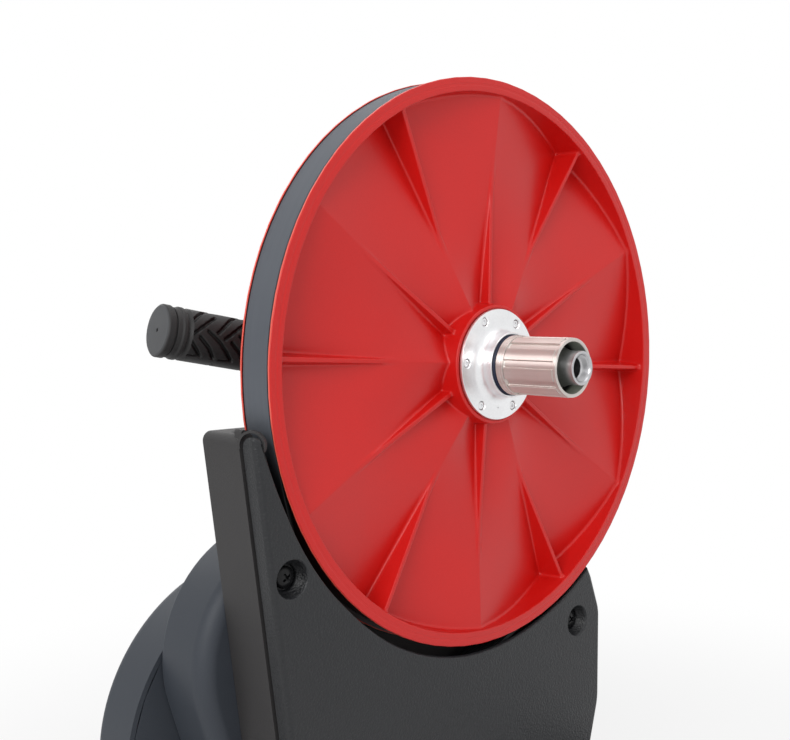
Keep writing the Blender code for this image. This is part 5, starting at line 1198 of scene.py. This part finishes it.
def foot(name, node, body, x, y):
    seat = LEG_LOW - GAP
    profile = [(0.01, 0.0), (0.0106, 0.0004), (0.0112, 0.0), (0.0136, 0.0), (0.0142, 0.0004), (0.0148, 0.0)]
    profile += soften([
        (0.016, 0.0), (0.018, 0.0), (0.018, 0.002), (0.0145, 0.008), (0.014, seat), (0.0043, seat),
    ], [0, 0.0008, 0.0008, 0.001, 0.0006, 0], 4, False)
    profile += [(0.004, seat + 0.0003), (0.004, seat + 0.0078), (0.0034, seat + 0.0085)]
    made = upright(name, profile, 72)
    made.data.transform(Matrix.Translation((x, y, 0.0)))
    dress(made, "foot_rubber", body, node, FLOOR, 35)


def rear_bar():
    rows = []
    shapes = [(-1.0, 0.029, 0.0095), (-0.985, 0.0298, 0.0108), (-0.95, 0.0306, 0.0122)]
    for i in range(9):
        t = i / 8
        ease = t * t * (3 - 2 * t)
        shapes.append((-0.93 + 0.68 * t, 0.0315 + 0.0085 * ease, 0.013 + 0.002 * ease))
    shapes += [(-share, top, half) for share, top, half in reversed(shapes)]
    for share, top, half in shapes:
        loop = section(0.0, half, LEG_LOW, top)
        rows.append([(REAR_BAR + across, BEAM_MID + share * 0.145, z) for _, across, z in loop])
    made = skin("rear_cross_bar", rows)
    for side in (1, -1):
        y = BEAM_MID + side * FOOT_OUT
        cut(made, rod("hole", (REAR_BAR, y, 0), (REAR_BAR, y, LEG_LOW + 0.0085), BOLT_HOLE_R, 32))
    dress(made, "frame_grey", "frame", "rear_foot_bar", FLOOR, 30, 0.0006)
    foot("rear_left_pad", "rear_left_foot", "frame", REAR_BAR, BEAM_MID + FOOT_OUT)
    foot("rear_right_pad", "rear_right_foot", "frame", REAR_BAR, BEAM_MID - FOOT_OUT)


pulley()
hub()
freehub()
axle_ends()
casting()
cover()
housing()
belt()
grip()
base()
rear_bar()

# The pieces that stay as the CAD made them get the same finishes.
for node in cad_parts.values():
    for slot in node.material_slots:
        kind = slot.material.name.split(".")[0] if slot.material else "steel"
        slot.material = finish_for(kind if kind in FINISHES else "steel")


# ---- floor, light and camera

def stage_floor():
    """A pale floor that turns white away from the object and keeps its shadow near it."""
    bm = bmesh.new()
    bmesh.ops.create_grid(bm, x_segments=8, y_segments=8, size=12.0)
    made = raw("studio_floor", bm)
    made.location = (0.0, 0.0, -0.0005)
    floor, graph, shader = new_material("studio_floor")
    shader["Roughness"].default_value = 0.9
    shader["Specular IOR Level"].default_value = 0.0
    shader["Base Color"].default_value = (0.86, 0.86, 0.86, 1.0)
    place = graph.add("TexCoord", {}, "Object")
    away = graph.add("VectorMath", {0: place}, "Value", operation="LENGTH")
    fade = {"Value": away, "From Min": 0.3, "From Max": 0.8, "To Min": 0.75, "To Max": 1.0}
    fade = graph.add("MapRange", fade, "Result", interpolation_type="SMOOTHSTEP")
    share = graph.both(graph.backdrop_rays(), fade)
    plain = graph.nodes["Principled BSDF"].outputs["BSDF"]
    white = graph.add("Emission", {"Strength": 1.0}, "Emission")
    surface = graph.add("MixShader", {"Fac": share, 1: plain, 2: white}, "Shader")
    graph.links.new(surface, graph.nodes["Material Output"].inputs["Surface"])
    made.data.materials.append(floor)


def lamp(name, place, target, width, height, power, mirrored=True):
    light = bpy.data.lights.new(name, "AREA")
    light.shape = "RECTANGLE"
    light.size, light.size_y = width, height
    light.energy = power
    made = bpy.data.objects.new(name, light)
    made.location = place
    made.rotation_euler = (Vector(target) - Vector(place)).to_track_quat("-Z", "Y").to_euler()
    made.visible_glossy = mirrored
    scene.collection.objects.link(made)


def studio():
    world = bpy.data.worlds.new("studio")
    world.use_nodes = True
    scene.world = world
    graph = Graph(world.node_tree)
    back = graph.nodes["Background"].inputs
    back["Color"].default_value = (1.0, 1.0, 1.0, 1.0)
    level = {"Value": graph.backdrop_rays(), "To Min": 0.25, "To Max": 1.0}
    graph.links.new(graph.add("MapRange", level, "Result"), back["Strength"])
    middle = (0.0, 0.0, 0.25)
    lamp("key", (-1.75, -0.8, 1.15), middle, 1.1, 1.1, 23.0)
    lamp("front_panel", (0.9, -1.7, 0.7), middle, 1.5, 1.6, 11.0, False)
    lamp("overhead", (0.1, -0.1, 2.0), middle, 1.8, 1.4, 11.0)
    lamp("back_fill", (0.3, 1.8, 1.1), middle, 1.6, 1.2, 8.0)
    view = bpy.data.cameras.new("photo_view")
    view.lens = 48.44
    view.sensor_fit = "HORIZONTAL"
    view.sensor_width = 36.0
    camera = bpy.data.objects.new("photo_view", view)
    camera.location = (-0.52395, -0.4409, 0.3819)
    turn, tilt = radians(-43.98), radians(3.15)
    level = cos(tilt)
    behind = Vector((sin(turn) * level, -cos(turn) * level, sin(tilt)))
    camera.rotation_euler = (-behind).to_track_quat("-Z", "Y").to_euler()
    scene.collection.objects.link(camera)
    scene.camera = camera
    scene.view_settings.view_transform = "Standard"


stage_floor()
studio()
